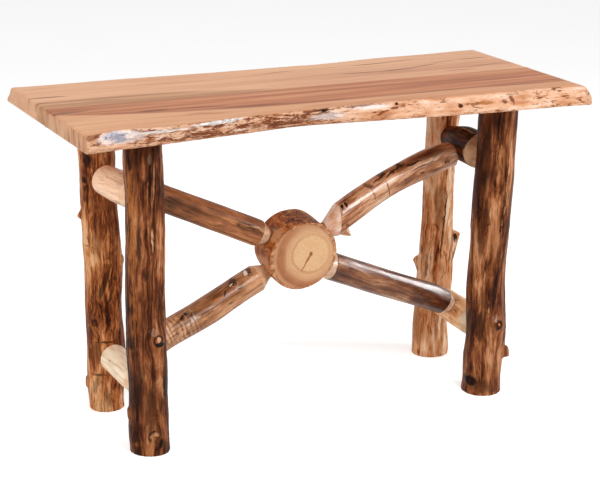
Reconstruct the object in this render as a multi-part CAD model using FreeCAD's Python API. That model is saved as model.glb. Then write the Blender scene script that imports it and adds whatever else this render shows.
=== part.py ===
import FreeCAD, Part
import math
import os

# Rustic log sofa table, in millimetres, +Z up.
# The origin is on the floor under the middle of the top. +X runs along the table to its right end and
# +Y to its back. Two live-edge boards lie on four peeled log legs. Each end has an upper and a lower log
# rail between its two legs. Four log braces run from those rails to a log slice in the middle.
# Every log ends in a turned round tenon with a coned shoulder, glued in a blind mortise.

Vector = FreeCAD.Vector
RIGHT = Vector(1, 0, 0)
BACK = Vector(0, 1, 0)
UP = Vector(0, 0, 1)

# Overall sizes
table_length = 1230.0
table_depth = 549.0
table_height = 762.0
top_thickness = 40.0

# Top
glue_line_offset = -5.5        # how far the joint of the two boards lies behind the middle of the top
top_dowel_diameter = 10.0
top_dowel_length = 60.0
top_dowel_count = 5
top_dowel_end_margin = 115.0   # from the end of the top to the first dowel

# Legs: how far the middles of the feet stand in from the ends and the live edges of the top, and each
# leg's usual diameter
top_end_overhang = 172.0
top_edge_overhang = 137.5
frame_offset = -9.5            # how far the middle of the four legs lies behind the middle of the top
leg_front_left_diameter = 86.0
leg_back_left_diameter = 86.0
leg_front_right_diameter = 93.0
leg_back_right_diameter = 86.0
leg_tenon_diameter = 50.0
leg_tenon_length = 24.0

# End rails: usual diameter, and the place of the rail's middle at the front and at the back leg, down from
# the underside of the top for an upper rail and up from the floor for a lower one
rail_upper_left_diameter = 71.0
rail_upper_left_front_drop = 140.0
rail_upper_left_back_drop = 155.0
rail_lower_left_diameter = 66.0
rail_lower_left_front_height = 145.0
rail_lower_left_back_height = 141.0
rail_upper_right_diameter = 85.0
rail_upper_right_front_drop = 139.0
rail_upper_right_back_drop = 139.0
rail_lower_right_diameter = 72.0
rail_lower_right_front_height = 153.5
rail_lower_right_back_height = 156.0
rail_tenon_diameter = 40.0
rail_tenon_length = 34.0
rail_shoulder_sink = 6.0       # how deep the coned shoulder seats below the leg's surface

# Hub: the log slice in the middle
hub_centre_right = -22.0
hub_lift = 11.5                # above the middle between the fronts of the left rails
hub_width = 172.0
hub_height = 158.0
hub_length = 115.0
hub_swell = 10.0               # how far the hub bulges towards the upper right brace

# Braces
brace_upper_left_diameter = 61.0
brace_lower_left_diameter = 66.0
brace_upper_right_diameter = 65.0
brace_lower_right_diameter = 67.0
brace_tenon_diameter = 36.0
brace_rail_tenon_length = 25.0
brace_hub_tenon_length = 34.0
brace_hub_sink = 1.5           # how deep a brace's shoulder seats below the hub's surface
brace_rail_sink = 3.5          # the same at the rail

# Joinery
shoulder_half_angle = 32.0     # degrees between the cone of a rail's shoulder and the log's axis
hub_half_angle = 28.0          # the same for the braces' ends at the hub
blunt_half_angle = 45.0        # the same for the braces' ends at the rails
long_half_angle = 27.0         # the same for the lower right brace's end at its rail
tenon_fit = 0.25               # radial clearance of a tenon and its shoulder, filled with glue
mortise_end_gap = 0.7
dowel_fit = 0.15

# Screws and the plugs over their heads
screw_head_diameter = 9.0
screw_head_height = 4.5
screw_shank_diameter = 4.8
screw_point_length = 6.0
rail_screw_length = 48.0
brace_screw_length = 30.0
hub_screw_length = 58.0
screw_fit = 0.15
plug_diameter = 10.0
plug_length = 8.0
plug_fit = 0.1

overrun = 8.0                  # how far cutters and blanks pass the faces that they cut
loft_degree = 3                # of the curves that run along the logs and the live edges

# Live edges. Each row is a place along the top as a share of its length, then how far the edge lies from
# the middle of the top as shares of half its depth: at the upper face, at its belly and at its foot.
front_edge_shares = (
    (-0.52, 0.934, 0.964, 0.975),
    (-0.46, 0.920, 0.945, 0.953),
    (-0.40, 0.898, 0.920, 0.927),
    (-0.30, 0.909, 0.905, 0.876),
    (-0.23, 0.862, 0.869, 0.840),
    (-0.15, 0.843, 0.843, 0.796),
    (-0.08, 0.832, 0.825, 0.769),
    (0.00, 0.796, 0.814, 0.800),
    (0.08, 0.791, 0.829, 0.840),
    (0.16, 0.811, 0.858, 0.880),
    (0.26, 0.820, 0.887, 0.927),
    (0.36, 0.825, 0.905, 0.951),
    (0.44, 0.832, 0.923, 0.967),
    (0.485, 0.858, 0.967, 0.989),
    (0.50, 0.890, 0.985, 1.003),
    (0.52, 0.920, 1.000, 1.010),
)
back_edge_shares = (
    (-0.52, 0.880, 0.940, 1.006),
    (-0.50, 0.876, 0.934, 1.003),
    (-0.40, 0.858, 0.909, 0.956),
    (-0.28, 0.861, 0.894, 0.920),
    (-0.16, 0.840, 0.862, 0.869),
    (-0.06, 0.829, 0.847, 0.851),
    (0.04, 0.829, 0.843, 0.843),
    (0.12, 0.821, 0.843, 0.854),
    (0.20, 0.851, 0.872, 0.883),
    (0.30, 0.880, 0.898, 0.905),
    (0.40, 0.883, 0.909, 0.923),
    (0.52, 0.876, 0.905, 0.920),
)
# Heights of an edge's upper face, belly and foot, and of the ends of its outline, as shares of the thickness
edge_upper_share = 1.00
edge_belly_share = 0.55
edge_foot_share = 0.10
edge_outline_top_share = 1.20
edge_outline_bottom_share = -0.20
edge_tuck_share = 0.12         # how far the outline turns in below the foot, as a share of the thickness

# Legs. Each row is a height as a share of the leg, then how far the log's middle stands to the right and
# to the back of its foot's place as shares of its diameter, then its girth as a share.
leg_front_left_shares = (
    (0.00, 0.055, 0.00, 1.035),
    (0.12, 0.025, 0.01, 1.020),
    (0.21, 0.030, 0.02, 1.005),
    (0.31, 0.010, 0.03, 1.030),
    (0.48, -0.030, 0.01, 1.015),
    (0.62, -0.035, -0.02, 0.990),
    (0.75, -0.015, -0.02, 0.975),
    (0.88, -0.045, -0.01, 0.970),
    (1.00, -0.030, 0.00, 0.915),
)
leg_back_left_shares = (
    (0.00, 0.020, 0.00, 0.960),
    (0.08, 0.000, 0.01, 1.010),
    (0.24, 0.020, 0.02, 1.035),
    (0.36, -0.010, 0.03, 0.985),
    (0.50, -0.010, 0.01, 1.050),
    (0.62, -0.080, -0.01, 1.000),
    (0.70, -0.115, -0.02, 0.960),
    (0.86, -0.150, -0.01, 0.975),
    (1.00, -0.160, 0.00, 0.980),
)
leg_front_right_shares = (
    (0.00, -0.125, 0.00, 1.060),
    (0.08, -0.100, 0.01, 1.020),
    (0.17, -0.050, 0.02, 1.060),
    (0.26, -0.060, 0.02, 1.050),
    (0.33, -0.120, 0.01, 1.015),
    (0.47, -0.120, 0.00, 0.990),
    (0.60, -0.085, -0.01, 1.015),
    (0.74, -0.050, -0.02, 1.000),
    (0.87, -0.030, -0.01, 0.985),
    (1.00, 0.025, 0.00, 0.935),
)
leg_back_right_shares = (
    (0.00, 0.045, 0.00, 1.085),
    (0.09, 0.035, 0.01, 1.060),
    (0.17, 0.055, 0.02, 1.035),
    (0.25, 0.115, 0.02, 1.070),
    (0.33, 0.125, 0.01, 1.050),
    (0.48, 0.130, -0.01, 0.945),
    (0.62, 0.115, -0.02, 0.920),
    (0.74, 0.135, -0.01, 0.915),
    (0.87, 0.200, 0.00, 0.950),
    (1.00, 0.220, 0.00, 0.950),
)

# How far the outline of a log's cross-section stands from a circle, going round it
leg_front_left_round_shares = (1.00, 0.98, 1.02, 1.01, 0.98, 1.00, 1.02, 0.99, 1.00, 1.00)
leg_back_left_round_shares = (1.01, 1.00, 0.98, 1.01, 1.00, 0.99, 1.00, 1.02, 1.00, 0.99)
leg_front_right_round_shares = (1.00, 1.01, 0.99, 1.00, 1.01, 1.00, 0.98, 1.00, 1.02, 0.99)
leg_back_right_round_shares = (1.00, 0.97, 1.01, 1.02, 0.99, 0.98, 1.01, 1.00, 1.02, 1.00)
rail_round_shares = (1.00, 1.02, 0.99, 0.98, 1.01, 1.02, 0.98, 1.00, 1.01, 0.99)
brace_round_shares = (1.00, 0.98, 1.01, 1.01, 0.99, 1.00, 1.01, 0.98, 1.00, 1.02)
hub_round_shares = (1.00, 0.98, 0.97, 1.00, 1.03, 1.02, 1.01, 0.98, 1.00, 1.02, 1.07, 1.04)

# Rails. Each row is a place from the front leg to the back leg as a share of the way between their
# middles, then the girth as a share.
rail_upper_left_shares = ((0.00, 0.96), (0.25, 0.99), (0.50, 1.03), (0.75, 0.98), (1.00, 0.94))
rail_lower_left_shares = ((0.00, 1.00), (0.25, 1.03), (0.50, 1.02), (0.72, 0.99), (1.00, 0.92))
rail_upper_right_shares = (
    (0.00, 1.02),
    (0.25, 1.04),
    (0.45, 1.02),
    (0.58, 0.98),
    (0.70, 0.82),
    (0.80, 0.66),
    (0.88, 0.58),
    (1.00, 0.56),
)
rail_lower_right_shares = ((0.00, 1.00), (0.25, 1.03), (0.50, 1.035), (0.75, 1.01), (1.00, 0.97))

# Braces. Each row is a place from the hub's middle to the rail's middle as a share of the way along,
# then how far the log rises above the straight line between them as a share of that way, then the girth.
brace_upper_left_shares = (
    (0.06, 0.024, 1.00),
    (0.29, 0.024, 1.03),
    (0.50, 0.025, 1.01),
    (0.72, 0.024, 0.99),
    (1.00, 0.023, 0.98),
)
brace_lower_left_shares = (
    (0.06, -0.018, 0.98),
    (0.29, -0.006, 0.98),
    (0.42, 0.000, 1.00),
    (0.56, 0.008, 1.01),
    (0.66, 0.021, 0.99),
    (0.76, 0.033, 0.98),
    (0.86, 0.030, 0.96),
    (0.94, 0.014, 0.95),
    (1.00, 0.000, 0.94),
)
brace_upper_right_shares = (
    (0.04, 0.014, 1.05),
    (0.12, 0.010, 1.05),
    (0.20, 0.017, 1.05),
    (0.285, 0.030, 1.05),
    (0.34, 0.038, 1.04),
    (0.42, 0.048, 0.99),
    (0.52, 0.053, 0.97),
    (0.64, 0.047, 1.00),
    (0.72, 0.040, 1.04),
    (0.79, 0.030, 1.03),
    (0.86, 0.015, 0.97),
    (0.93, -0.001, 0.92),
    (1.00, -0.016, 0.90),
)
brace_lower_right_shares = (
    (0.06, -0.018, 1.00),
    (0.33, -0.006, 1.01),
    (0.51, 0.004, 1.00),
    (0.69, 0.016, 1.00),
    (0.82, 0.024, 1.00),
    (0.90, 0.022, 0.96),
    (1.00, 0.010, 0.93),
)

# Knots and branch stubs on a leg. Each row is a height share, the turn round the leg in degrees from +X,
# then as shares of the leg's radius the stub's radius at its root and at its tip, how far it stands out,
# and how far it leans up the leg.
leg_front_left_knot_shares = (
    (0.377, -76.0, 0.25, 0.20, 0.07, 0.0),
    (0.125, 168.0, 0.39, 0.30, 0.08, 0.0),
)
leg_back_left_knot_shares = (
    (0.088, 160.0, 0.45, 0.32, 0.08, 0.0),
    (0.665, 160.0, 0.39, 0.30, 0.07, 0.6),
    (0.505, -30.0, 0.42, 0.32, 0.08, 0.0),
)
leg_front_right_knot_shares = (
    (0.252, -88.0, 0.30, 0.24, 0.09, 0.0),
    (0.140, -38.0, 0.45, 0.28, 0.21, 0.3),
)
leg_back_right_knot_shares = (
    (0.423, -31.0, 0.85, 0.24, 0.24, 2.2),
    (0.345, 149.0, 0.75, 0.24, 0.10, 1.4),
)

knot_rim_share = 0.33          # how far a stub's rim is rounded, as a share of its tip's radius

# The thorn left under the upper right brace: its place along the brace as a share of the way from hub to
# rail, how far it points down against right, then its length, root radius and tip radius as shares of the
# brace's radius
thorn_place_share = 0.225
thorn_drop_share = 0.85
thorn_length_share = 2.00
thorn_root_share = 0.94
thorn_tip_share = 0.05

# Slices of the hub. Each row is a place from the middle of its length to the back as a share of it, then
# how far the slice's middle lies to the right and up as shares of its width, then width and height shares.
hub_slice_shares = (
    (-0.50, 0.00, 0.00, 1.00, 0.99),
    (-0.20, 0.01, 0.00, 0.99, 1.00),
    (0.15, 0.03, 0.01, 0.97, 0.99),
    (0.50, 0.05, 0.02, 0.94, 0.98),
)

# Worked out from the sizes above
underside_height = table_height - top_thickness
half_length = table_length / 2
half_depth = table_depth / 2
half_spacing_long = half_length - top_end_overhang
half_spacing_deep = half_depth - top_edge_overhang
rail_upper_left_front_height = underside_height - rail_upper_left_front_drop
rail_upper_left_back_height = underside_height - rail_upper_left_back_drop
rail_upper_right_front_height = underside_height - rail_upper_right_front_drop
rail_upper_right_back_height = underside_height - rail_upper_right_back_drop
hub_centre_height = (rail_upper_left_front_height + rail_lower_left_front_height) / 2 + hub_lift
hub_centre = Vector(hub_centre_right, frame_offset, hub_centre_height)


def between(shares, place, column):
    """Value of one column of a table of shares at a place between its rows."""
    for low, high in zip(shares, shares[1:]):
        if place <= high[0]:
            way = (place - low[0]) / (high[0] - low[0])
            return low[column] + way * (high[column] - low[column])
    return shares[-1][column]


def revolved(outline, origin, direction):
    """Solid turned from (radius, distance) points about an axis through origin."""
    points = [Vector(radius, 0, distance) for radius, distance in outline]
    face = Part.Face(Part.makePolygon(points + points[:1]))
    solid = face.revolve(Vector(), UP, 360)
    solid.Placement = FreeCAD.Placement(origin, FreeCAD.Rotation(UP, direction))
    return solid


def log_section(centre, heading, radius_across, radius_up, round_shares):
    """Closed curve round a log, square to the way that the log runs."""
    side = BACK if abs(heading.dot(BACK)) < abs(heading.dot(RIGHT)) + abs(heading.dot(UP)) else RIGHT
    across = (side - heading * side.dot(heading)).normalize()
    upward = heading.cross(across)
    points = []
    for index, round_share in enumerate(round_shares):
        turn = 2 * math.pi * index / len(round_shares)
        reach = across * (radius_across * math.cos(turn)) + upward * (radius_up * math.sin(turn))
        points.append(centre + reach * round_share)
    curve = Part.BSplineCurve()
    curve.interpolate(Points=points, PeriodicFlag=True)
    return Part.Wire([curve.toShape()])


def log_body(centres, headings, radii, round_shares):
    """Peeled log through its stations."""
    sections = []
    for centre, heading, radius in zip(centres, headings, radii):
        sections.append(log_section(centre, heading, radius, radius, round_shares))
    return Part.makeLoft(sections, True, False, False, loft_degree)


def shoulder_end(tenon_radius, tenon_length, outer_radius, half_angle):
    """Distance from the tenon's tip to where its shoulder's cone reaches a radius."""
    return tenon_length + (outer_radius - tenon_radius) / math.tan(math.radians(half_angle))


def turned_end(log, tip, inward, tenon_radius, tenon_length, log_radius, half_angle):
    """Log with its end turned down to a round tenon with a coned shoulder."""
    outer = 2 * log_radius
    cone_end = shoulder_end(tenon_radius, tenon_length, outer, half_angle)
    waste = ((tenon_radius, -overrun), (outer, -overrun), (outer, cone_end), (tenon_radius, tenon_length))
    return log.cut(revolved(waste, tip, inward))


def mortise(tip, inward, tenon_radius, tenon_length, log_radius, half_angle):
    """Cutter for the blind hole that takes a turned end."""
    cone_end = shoulder_end(tenon_radius, tenon_length, log_radius, half_angle)
    outline = (
        (0, -mortise_end_gap),
        (tenon_radius + tenon_fit, -mortise_end_gap),
        (tenon_radius + tenon_fit, tenon_length),
        (log_radius + tenon_fit, cone_end),
        (log_radius + tenon_fit, cone_end + overrun),
        (0, cone_end + overrun),
    )
    return revolved(outline, tip, inward)


class Leg:
    """One log leg: where it stands, and its shape up to the underside of the top."""

    def __init__(self, side_right, side_back, diameter, shares, round_shares, knot_shares):
        self.foot = Vector(side_right * half_spacing_long, frame_offset + side_back * half_spacing_deep, 0)
        self.diameter = diameter
        self.shares = shares
        self.round_shares = round_shares
        self.knot_shares = knot_shares
        self.tenon_base = self.middle(underside_height)
        self.body = self.peeled_log()

    def middle(self, height):
        """Middle of the log at a height."""
        place = height / underside_height
        right = between(self.shares, place, 1) * self.diameter
        back = between(self.shares, place, 2) * self.diameter
        return self.foot + RIGHT * right + BACK * back + UP * height

    def radius(self, height):
        return between(self.shares, height / underside_height, 3) * self.diameter / 2

    def peeled_log(self):
        heights = [row[0] * underside_height for row in self.shares]
        centres = [self.middle(height) for height in heights]
        radii = [self.radius(height) for height in heights]
        log = log_body(centres, [UP] * len(heights), radii, self.round_shares)
        for knot_share in self.knot_shares:
            log = log.fuse(self.knot(*knot_share))
        return log

    def knot(self, height_share, turn, root_share, tip_share, stand_out_share, lean_share):
        """Branch stub: a coned peg from the middle of the log to just outside its surface."""
        height = height_share * underside_height
        log_radius = self.radius(height)
        outward = Vector(math.cos(math.radians(turn)), math.sin(math.radians(turn)), 0)
        direction = (outward + UP * lean_share).normalize()
        reach = log_radius * (1 + stand_out_share) / direction.dot(outward)
        tip_radius = log_radius * tip_share
        root_radius = log_radius * root_share
        root = self.middle(height) - UP * (lean_share * log_radius)
        peg = Part.makeCone(root_radius, tip_radius, reach, root, direction)
        rim = [edge for edge in peg.Edges if edge.CenterOfMass.distanceToPoint(root) > reach / 2]
        rim = [edge for edge in rim if edge.Closed]
        return peg.makeFillet(tip_radius * knot_rim_share, rim)

    def solid(self):
        """Leg with its top tenon, before any mortise is cut."""
        lap = self.tenon_base - UP * overrun
        tenon = Part.makeCylinder(leg_tenon_diameter / 2, leg_tenon_length + overrun, lap, UP)
        return self.body.fuse(tenon)

    def top_mortise(self):
        """Cutter for the tenon's blind hole in the underside of the top."""
        mouth = self.tenon_base - UP * overrun
        depth = overrun + leg_tenon_length + mortise_end_gap
        return Part.makeCylinder(leg_tenon_diameter / 2 + tenon_fit, depth, mouth, UP)


class Rail:
    """Log rail from a front leg to a back leg."""

    def __init__(self, front_leg, back_leg, front_height, back_height, diameter, shares):
        self.legs = (front_leg, back_leg)
        self.start = front_leg.middle(front_height)
        self.end = back_leg.middle(back_height)
        self.heading = (self.end - self.start).normalize()
        self.diameter = diameter
        self.shares = shares
        self.tips = (
            self.tip(front_leg, self.start, self.heading),
            self.tip(back_leg, self.end, -self.heading))
        self.body = self.peeled_log()

    def tip(self, leg, middle, inward):
        """End of the tenon inside a leg."""
        depth = leg.radius(middle.z) - rail_shoulder_sink - rail_tenon_length
        return middle + inward * depth

    def radius(self, place):
        return between(self.shares, place, 1) * self.diameter / 2

    def peeled_log(self):
        span = self.end - self.start
        centres = [self.start + span * row[0] for row in self.shares]
        radii = [self.radius(row[0]) for row in self.shares]
        log = log_body(centres, [self.heading] * len(centres), radii, rail_round_shares)
        for tip, inward, place in zip(self.tips, (self.heading, -self.heading), (0, 1)):
            blank_end = Part.makeCylinder(self.diameter, self.diameter, tip, -inward)
            log = log.cut(blank_end)
            log = turned_end(
                log, tip, inward, rail_tenon_diameter / 2, rail_tenon_length,
                self.radius(place), shoulder_half_angle)
        return log

    def mortises(self):
        """Cutters for the front leg and for the back leg."""
        cutters = []
        for tip, inward, place in zip(self.tips, (self.heading, -self.heading), (0, 1)):
            cutters.append(mortise(
                tip, inward, rail_tenon_diameter / 2, rail_tenon_length,
                self.radius(place), shoulder_half_angle))
        return cutters

    def tenon_middle(self, index):
        inward = self.heading if index == 0 else -self.heading
        return self.tips[index] + inward * (rail_tenon_length / 2)

    def middle(self):
        """Middle of the rail where a brace meets it, in the plane of the braces."""
        way = (frame_offset - self.start.y) / (self.end.y - self.start.y)
        return self.start + (self.end - self.start) * way


class Brace:
    """Log brace from the hub to a rail, in the upright plane through the middle of the table."""

    def __init__(self, rail, diameter, shares, rail_half_angle, hub_stand_out=0.0, thorn=False):
        self.rail_middle = rail.middle()
        self.rail_radius = rail.diameter / 2
        self.diameter = diameter
        self.shares = shares
        self.rail_half_angle = rail_half_angle
        self.hub_stand_out = hub_stand_out
        self.centres = [self.point(row[0], row[1]) for row in shares]
        self.hub_heading = (self.centres[1] - self.centres[0]).normalize()
        self.rail_heading = (self.centres[-2] - self.centres[-1]).normalize()
        self.hub_tip = self.hub_end()
        self.rail_tip = self.rail_end()
        self.body = self.peeled_log(thorn)

    def point(self, along_share, rise_share):
        span = self.rail_middle - hub_centre
        flat_span = Vector(span.x, 0, 0)
        return hub_centre + span * along_share + UP * (rise_share * flat_span.Length)

    def hub_end(self):
        """Tip of the tenon in the hub, set back from where the brace's axis leaves the hub's outline."""
        half_width = hub_width / 2
        half_height = hub_height / 2
        start = self.centres[0] - hub_centre
        heading = self.hub_heading
        a = (heading.x / half_width) ** 2 + (heading.z / half_height) ** 2
        b = start.x * heading.x / half_width ** 2 + start.z * heading.z / half_height ** 2
        c = (start.x / half_width) ** 2 + (start.z / half_height) ** 2 - 1
        surface = (math.sqrt(b * b - a * c) - b) / a
        shoulder = surface + self.hub_stand_out - brace_hub_sink
        return self.centres[0] + heading * (shoulder - brace_hub_tenon_length)

    def rail_end(self):
        """Tip of the tenon in the rail, set back from where the brace's axis enters the rail."""
        to_axis = self.rail_middle - self.centres[-1]
        along = to_axis.dot(self.rail_heading)
        miss = (to_axis - self.rail_heading * along).Length
        surface = along + math.sqrt(self.rail_radius ** 2 - miss ** 2)
        return self.centres[-1] + self.rail_heading * (surface - brace_rail_sink - brace_rail_tenon_length)

    def headings(self):
        """Way that the log runs at each station, straight at its two ends."""
        ways = [self.hub_heading]
        for before, after in zip(self.centres, self.centres[2:]):
            ways.append((after - before).normalize())
        return ways + [-self.rail_heading]

    def peeled_log(self, thorn):
        radii = [row[2] * self.diameter / 2 for row in self.shares]
        log = log_body(self.centres, self.headings(), radii, brace_round_shares)
        if thorn:
            log = log.fuse(self.thorn())
        tenon_radius = brace_tenon_diameter / 2
        log = log.cut(Part.makeCylinder(self.diameter, self.diameter, self.hub_tip, -self.hub_heading))
        log = log.cut(Part.makeCylinder(self.diameter, self.diameter, self.rail_tip, -self.rail_heading))
        log = turned_end(
            log, self.hub_tip, self.hub_heading, tenon_radius, brace_hub_tenon_length,
            radii[0], hub_half_angle)
        return turned_end(
            log, self.rail_tip, self.rail_heading, tenon_radius, brace_rail_tenon_length,
            radii[-1], self.rail_half_angle)

    def thorn(self):
        """Pointed remnant of a branch under the log, near the hub."""
        radius = self.diameter / 2
        root = self.point(thorn_place_share, between(self.shares, thorn_place_share, 1))
        direction = (RIGHT - UP * thorn_drop_share).normalize()
        length = radius * thorn_length_share
        return Part.makeCone(radius * thorn_root_share, radius * thorn_tip_share, length, root, direction)

    def hub_mortise(self):
        radius = self.shares[0][2] * self.diameter / 2
        return mortise(
            self.hub_tip, self.hub_heading, brace_tenon_diameter / 2, brace_hub_tenon_length,
            radius, hub_half_angle)

    def rail_mortise(self):
        radius = self.shares[-1][2] * self.diameter / 2
        return mortise(
            self.rail_tip, self.rail_heading, brace_tenon_diameter / 2, brace_rail_tenon_length,
            radius, self.rail_half_angle)

    def hub_tenon_middle(self):
        return self.hub_tip + self.hub_heading * (brace_hub_tenon_length / 2)

    def rail_tenon_middle(self):
        return self.rail_tip + self.rail_heading * (brace_rail_tenon_length / 2)


class Screw:
    """Countersunk screw under a wood plug. It goes in along `into` from the surface of a log."""

    def __init__(self, aim, into, host, length):
        self.host = host
        self.into = into
        self.length = length
        self.surface = self.entry(aim)
        self.head = self.surface + into * plug_length

    def entry(self, aim):
        """Where the screw's line, aimed at a point, meets the surface of its host."""
        reach = self.host.BoundBox.DiagonalLength
        line = Part.makeLine(aim - self.into * reach, aim)
        inside = self.host.common(line)
        return min((vertex.Point for vertex in inside.Vertexes), key=lambda point: point.dot(self.into))

    def turned(self, grow):
        """Screw body, or its hole when grown by a clearance."""
        head_radius = screw_head_diameter / 2 + grow
        shank_radius = screw_shank_diameter / 2 + grow
        outline = (
            (0, -grow),
            (head_radius, -grow),
            (shank_radius, screw_head_height),
            (shank_radius, self.length - screw_point_length),
            (0, self.length + grow),
        )
        return revolved(outline, self.head, self.into)

    def solid(self):
        return self.turned(0)

    def plug_blank(self, radius, depth):
        start = self.surface - self.into * overrun
        return Part.makeCylinder(radius, overrun + depth, start, self.into)

    def plug(self):
        """Wood plug, its outer end shaped flush with the log."""
        return self.host.common(self.plug_blank(plug_diameter / 2, plug_length - plug_fit))

    def hole(self):
        return self.turned(screw_fit).fuse(self.plug_blank(plug_diameter / 2 + plug_fit, plug_length))


def live_edge_section(place, upper, belly, foot, direction):
    """Outline of a board across the grain. direction is -1 for the front board and 1 for the back one."""
    lift = (edge_outline_top_share - edge_upper_share) / (edge_upper_share - edge_belly_share)
    outline = (
        (edge_outline_bottom_share, foot - edge_tuck_share * top_thickness),
        (edge_foot_share, foot),
        (edge_belly_share, belly),
        (edge_upper_share, upper),
        (edge_outline_top_share, upper + (upper - belly) * lift),
    )
    points = []
    for height_share, reach in outline:
        height = underside_height + top_thickness * height_share
        points.append(Vector(place, direction * reach, height))
    edge = Part.BSplineCurve()
    edge.interpolate(Points=points)
    inner_low = Vector(place, glue_line_offset, points[0].z)
    inner_high = Vector(place, glue_line_offset, points[-1].z)
    sides = [
        Part.makeLine(inner_low, points[0]),
        edge.toShape(),
        Part.makeLine(points[-1], inner_high),
        Part.makeLine(inner_high, inner_low),
    ]
    return Part.Wire(sides)


def top_board(edge_shares, direction):
    """Board with one straight glued edge and one live edge, sawn to length, width and thickness."""
    sections = []
    for place_share, upper_share, belly_share, foot_share in edge_shares:
        upper = upper_share * half_depth
        belly = belly_share * half_depth
        foot = foot_share * half_depth
        sections.append(live_edge_section(place_share * table_length, upper, belly, foot, direction))
    board = Part.makeLoft(sections, True, False, False, loft_degree)
    inner = glue_line_offset
    outer = direction * half_depth
    corner = Vector(-half_length, min(inner, outer), underside_height)
    sawn = Part.makeBox(table_length, abs(outer - inner), top_thickness, corner)
    return board.common(sawn)


def hub_body():
    """Log slice with its axis front to back."""
    sections = []
    for place_share, right_share, up_share, width_share, height_share in hub_slice_shares:
        centre = hub_centre + BACK * (place_share * hub_length)
        centre = centre + RIGHT * (right_share * hub_width) + UP * (up_share * hub_width)
        radius_across = hub_width / 2 * width_share
        radius_up = hub_height / 2 * height_share
        sections.append(log_section(centre, BACK, radius_across, radius_up, hub_round_shares))
    return Part.makeLoft(sections, True, False, False, loft_degree)


def top_dowels():
    """Dowels in the glue joint, evenly spaced."""
    span = table_length - 2 * top_dowel_end_margin
    height = underside_height + top_thickness / 2
    solids = []
    holes = []
    for index in range(top_dowel_count):
        place = -span / 2 + span * index / (top_dowel_count - 1)
        start = Vector(place, glue_line_offset - top_dowel_length / 2, height)
        solids.append(Part.makeCylinder(top_dowel_diameter / 2, top_dowel_length, start, BACK))
        mouth = start - BACK * mortise_end_gap
        depth = top_dowel_length + 2 * mortise_end_gap
        holes.append(Part.makeCylinder(top_dowel_diameter / 2 + dowel_fit, depth, mouth, BACK))
    return solids, holes


def save(name, shape):
    solids = shape.Solids
    print(name, "solids", len(solids), "volume", round(shape.Volume), "valid", shape.isValid())
    finished = solids[0] if len(solids) == 1 else Part.makeCompound(solids)
    finished.exportStep("parts/" + name + ".step")


os.makedirs("parts", exist_ok=True)

legs = {
    "front_left": Leg(
        -1, -1, leg_front_left_diameter, leg_front_left_shares,
        leg_front_left_round_shares, leg_front_left_knot_shares),
    "back_left": Leg(
        -1, 1, leg_back_left_diameter, leg_back_left_shares,
        leg_back_left_round_shares, leg_back_left_knot_shares),
    "front_right": Leg(
        1, -1, leg_front_right_diameter, leg_front_right_shares,
        leg_front_right_round_shares, leg_front_right_knot_shares),
    "back_right": Leg(
        1, 1, leg_back_right_diameter, leg_back_right_shares,
        leg_back_right_round_shares, leg_back_right_knot_shares),
}
rails = {
    "upper_left": Rail(
        legs["front_left"], legs["back_left"], rail_upper_left_front_height,
        rail_upper_left_back_height, rail_upper_left_diameter, rail_upper_left_shares),
    "lower_left": Rail(
        legs["front_left"], legs["back_left"], rail_lower_left_front_height,
        rail_lower_left_back_height, rail_lower_left_diameter, rail_lower_left_shares),
    "upper_right": Rail(
        legs["front_right"], legs["back_right"], rail_upper_right_front_height,
        rail_upper_right_back_height, rail_upper_right_diameter, rail_upper_right_shares),
    "lower_right": Rail(
        legs["front_right"], legs["back_right"], rail_lower_right_front_height,
        rail_lower_right_back_height, rail_lower_right_diameter, rail_lower_right_shares),
}
braces = {
    "upper_left": Brace(
        rails["upper_left"], brace_upper_left_diameter, brace_upper_left_shares, blunt_half_angle),
    "lower_left": Brace(
        rails["lower_left"], brace_lower_left_diameter, brace_lower_left_shares, blunt_half_angle),
    "upper_right": Brace(
        rails["upper_right"], brace_upper_right_diameter, brace_upper_right_shares, blunt_half_angle,
        hub_swell, thorn=True),
    "lower_right": Brace(
        rails["lower_right"], brace_lower_right_diameter, brace_lower_right_shares, long_half_angle),
}
hub = hub_body()

# Screws: from each leg's right side into the rail's tenon, up through each brace's tenon in its rail, and
# from the hub's back
rail_screws = []
for rail in rails.values():
    for index, leg in enumerate(rail.legs):
        screw = Screw(rail.tenon_middle(index), -RIGHT, leg.body, rail_screw_length)
        rail_screws.append((leg, rail, screw))
brace_screws = []
hub_screws = []
for name, brace in braces.items():
    rail_screw = Screw(brace.rail_tenon_middle(), UP, rails[name].body, brace_screw_length)
    brace_screws.append((rails[name], brace, rail_screw))
    hub_screws.append((brace, Screw(brace.hub_tenon_middle(), -BACK, hub, hub_screw_length)))

for name, leg in legs.items():
    cutters = []
    for rail in rails.values():
        for member, cutter in zip(rail.legs, rail.mortises()):
            if member is leg:
                cutters.append(cutter)
    cutters += [screw.hole() for member, rail, screw in rail_screws if member is leg]
    save("leg_" + name, leg.solid().cut(cutters))

for name, rail in rails.items():
    cutters = [braces[name].rail_mortise()]
    cutters += [screw.hole() for leg, member, screw in rail_screws if member is rail]
    cutters += [screw.hole() for member, brace, screw in brace_screws if member is rail]
    save("end_rail_" + name, rail.body.cut(cutters))

for name, brace in braces.items():
    cutters = [screw.hole() for rail, member, screw in brace_screws if member is brace]
    cutters += [screw.hole() for member, screw in hub_screws if member is brace]
    save("brace_" + name, brace.body.cut(cutters))

hub_cutters = [brace.hub_mortise() for brace in braces.values()]
hub_cutters += [screw.hole() for brace, screw in hub_screws]
save("centre_hub", hub.cut(hub_cutters))

dowels, dowel_holes = top_dowels()
leg_mortises = [leg.top_mortise() for leg in legs.values()]
save("top_board_front", top_board(front_edge_shares, -1).cut(leg_mortises + dowel_holes))
save("top_board_back", top_board(back_edge_shares, 1).cut(leg_mortises + dowel_holes))
save("top_dowels", Part.makeCompound(dowels))

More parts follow.
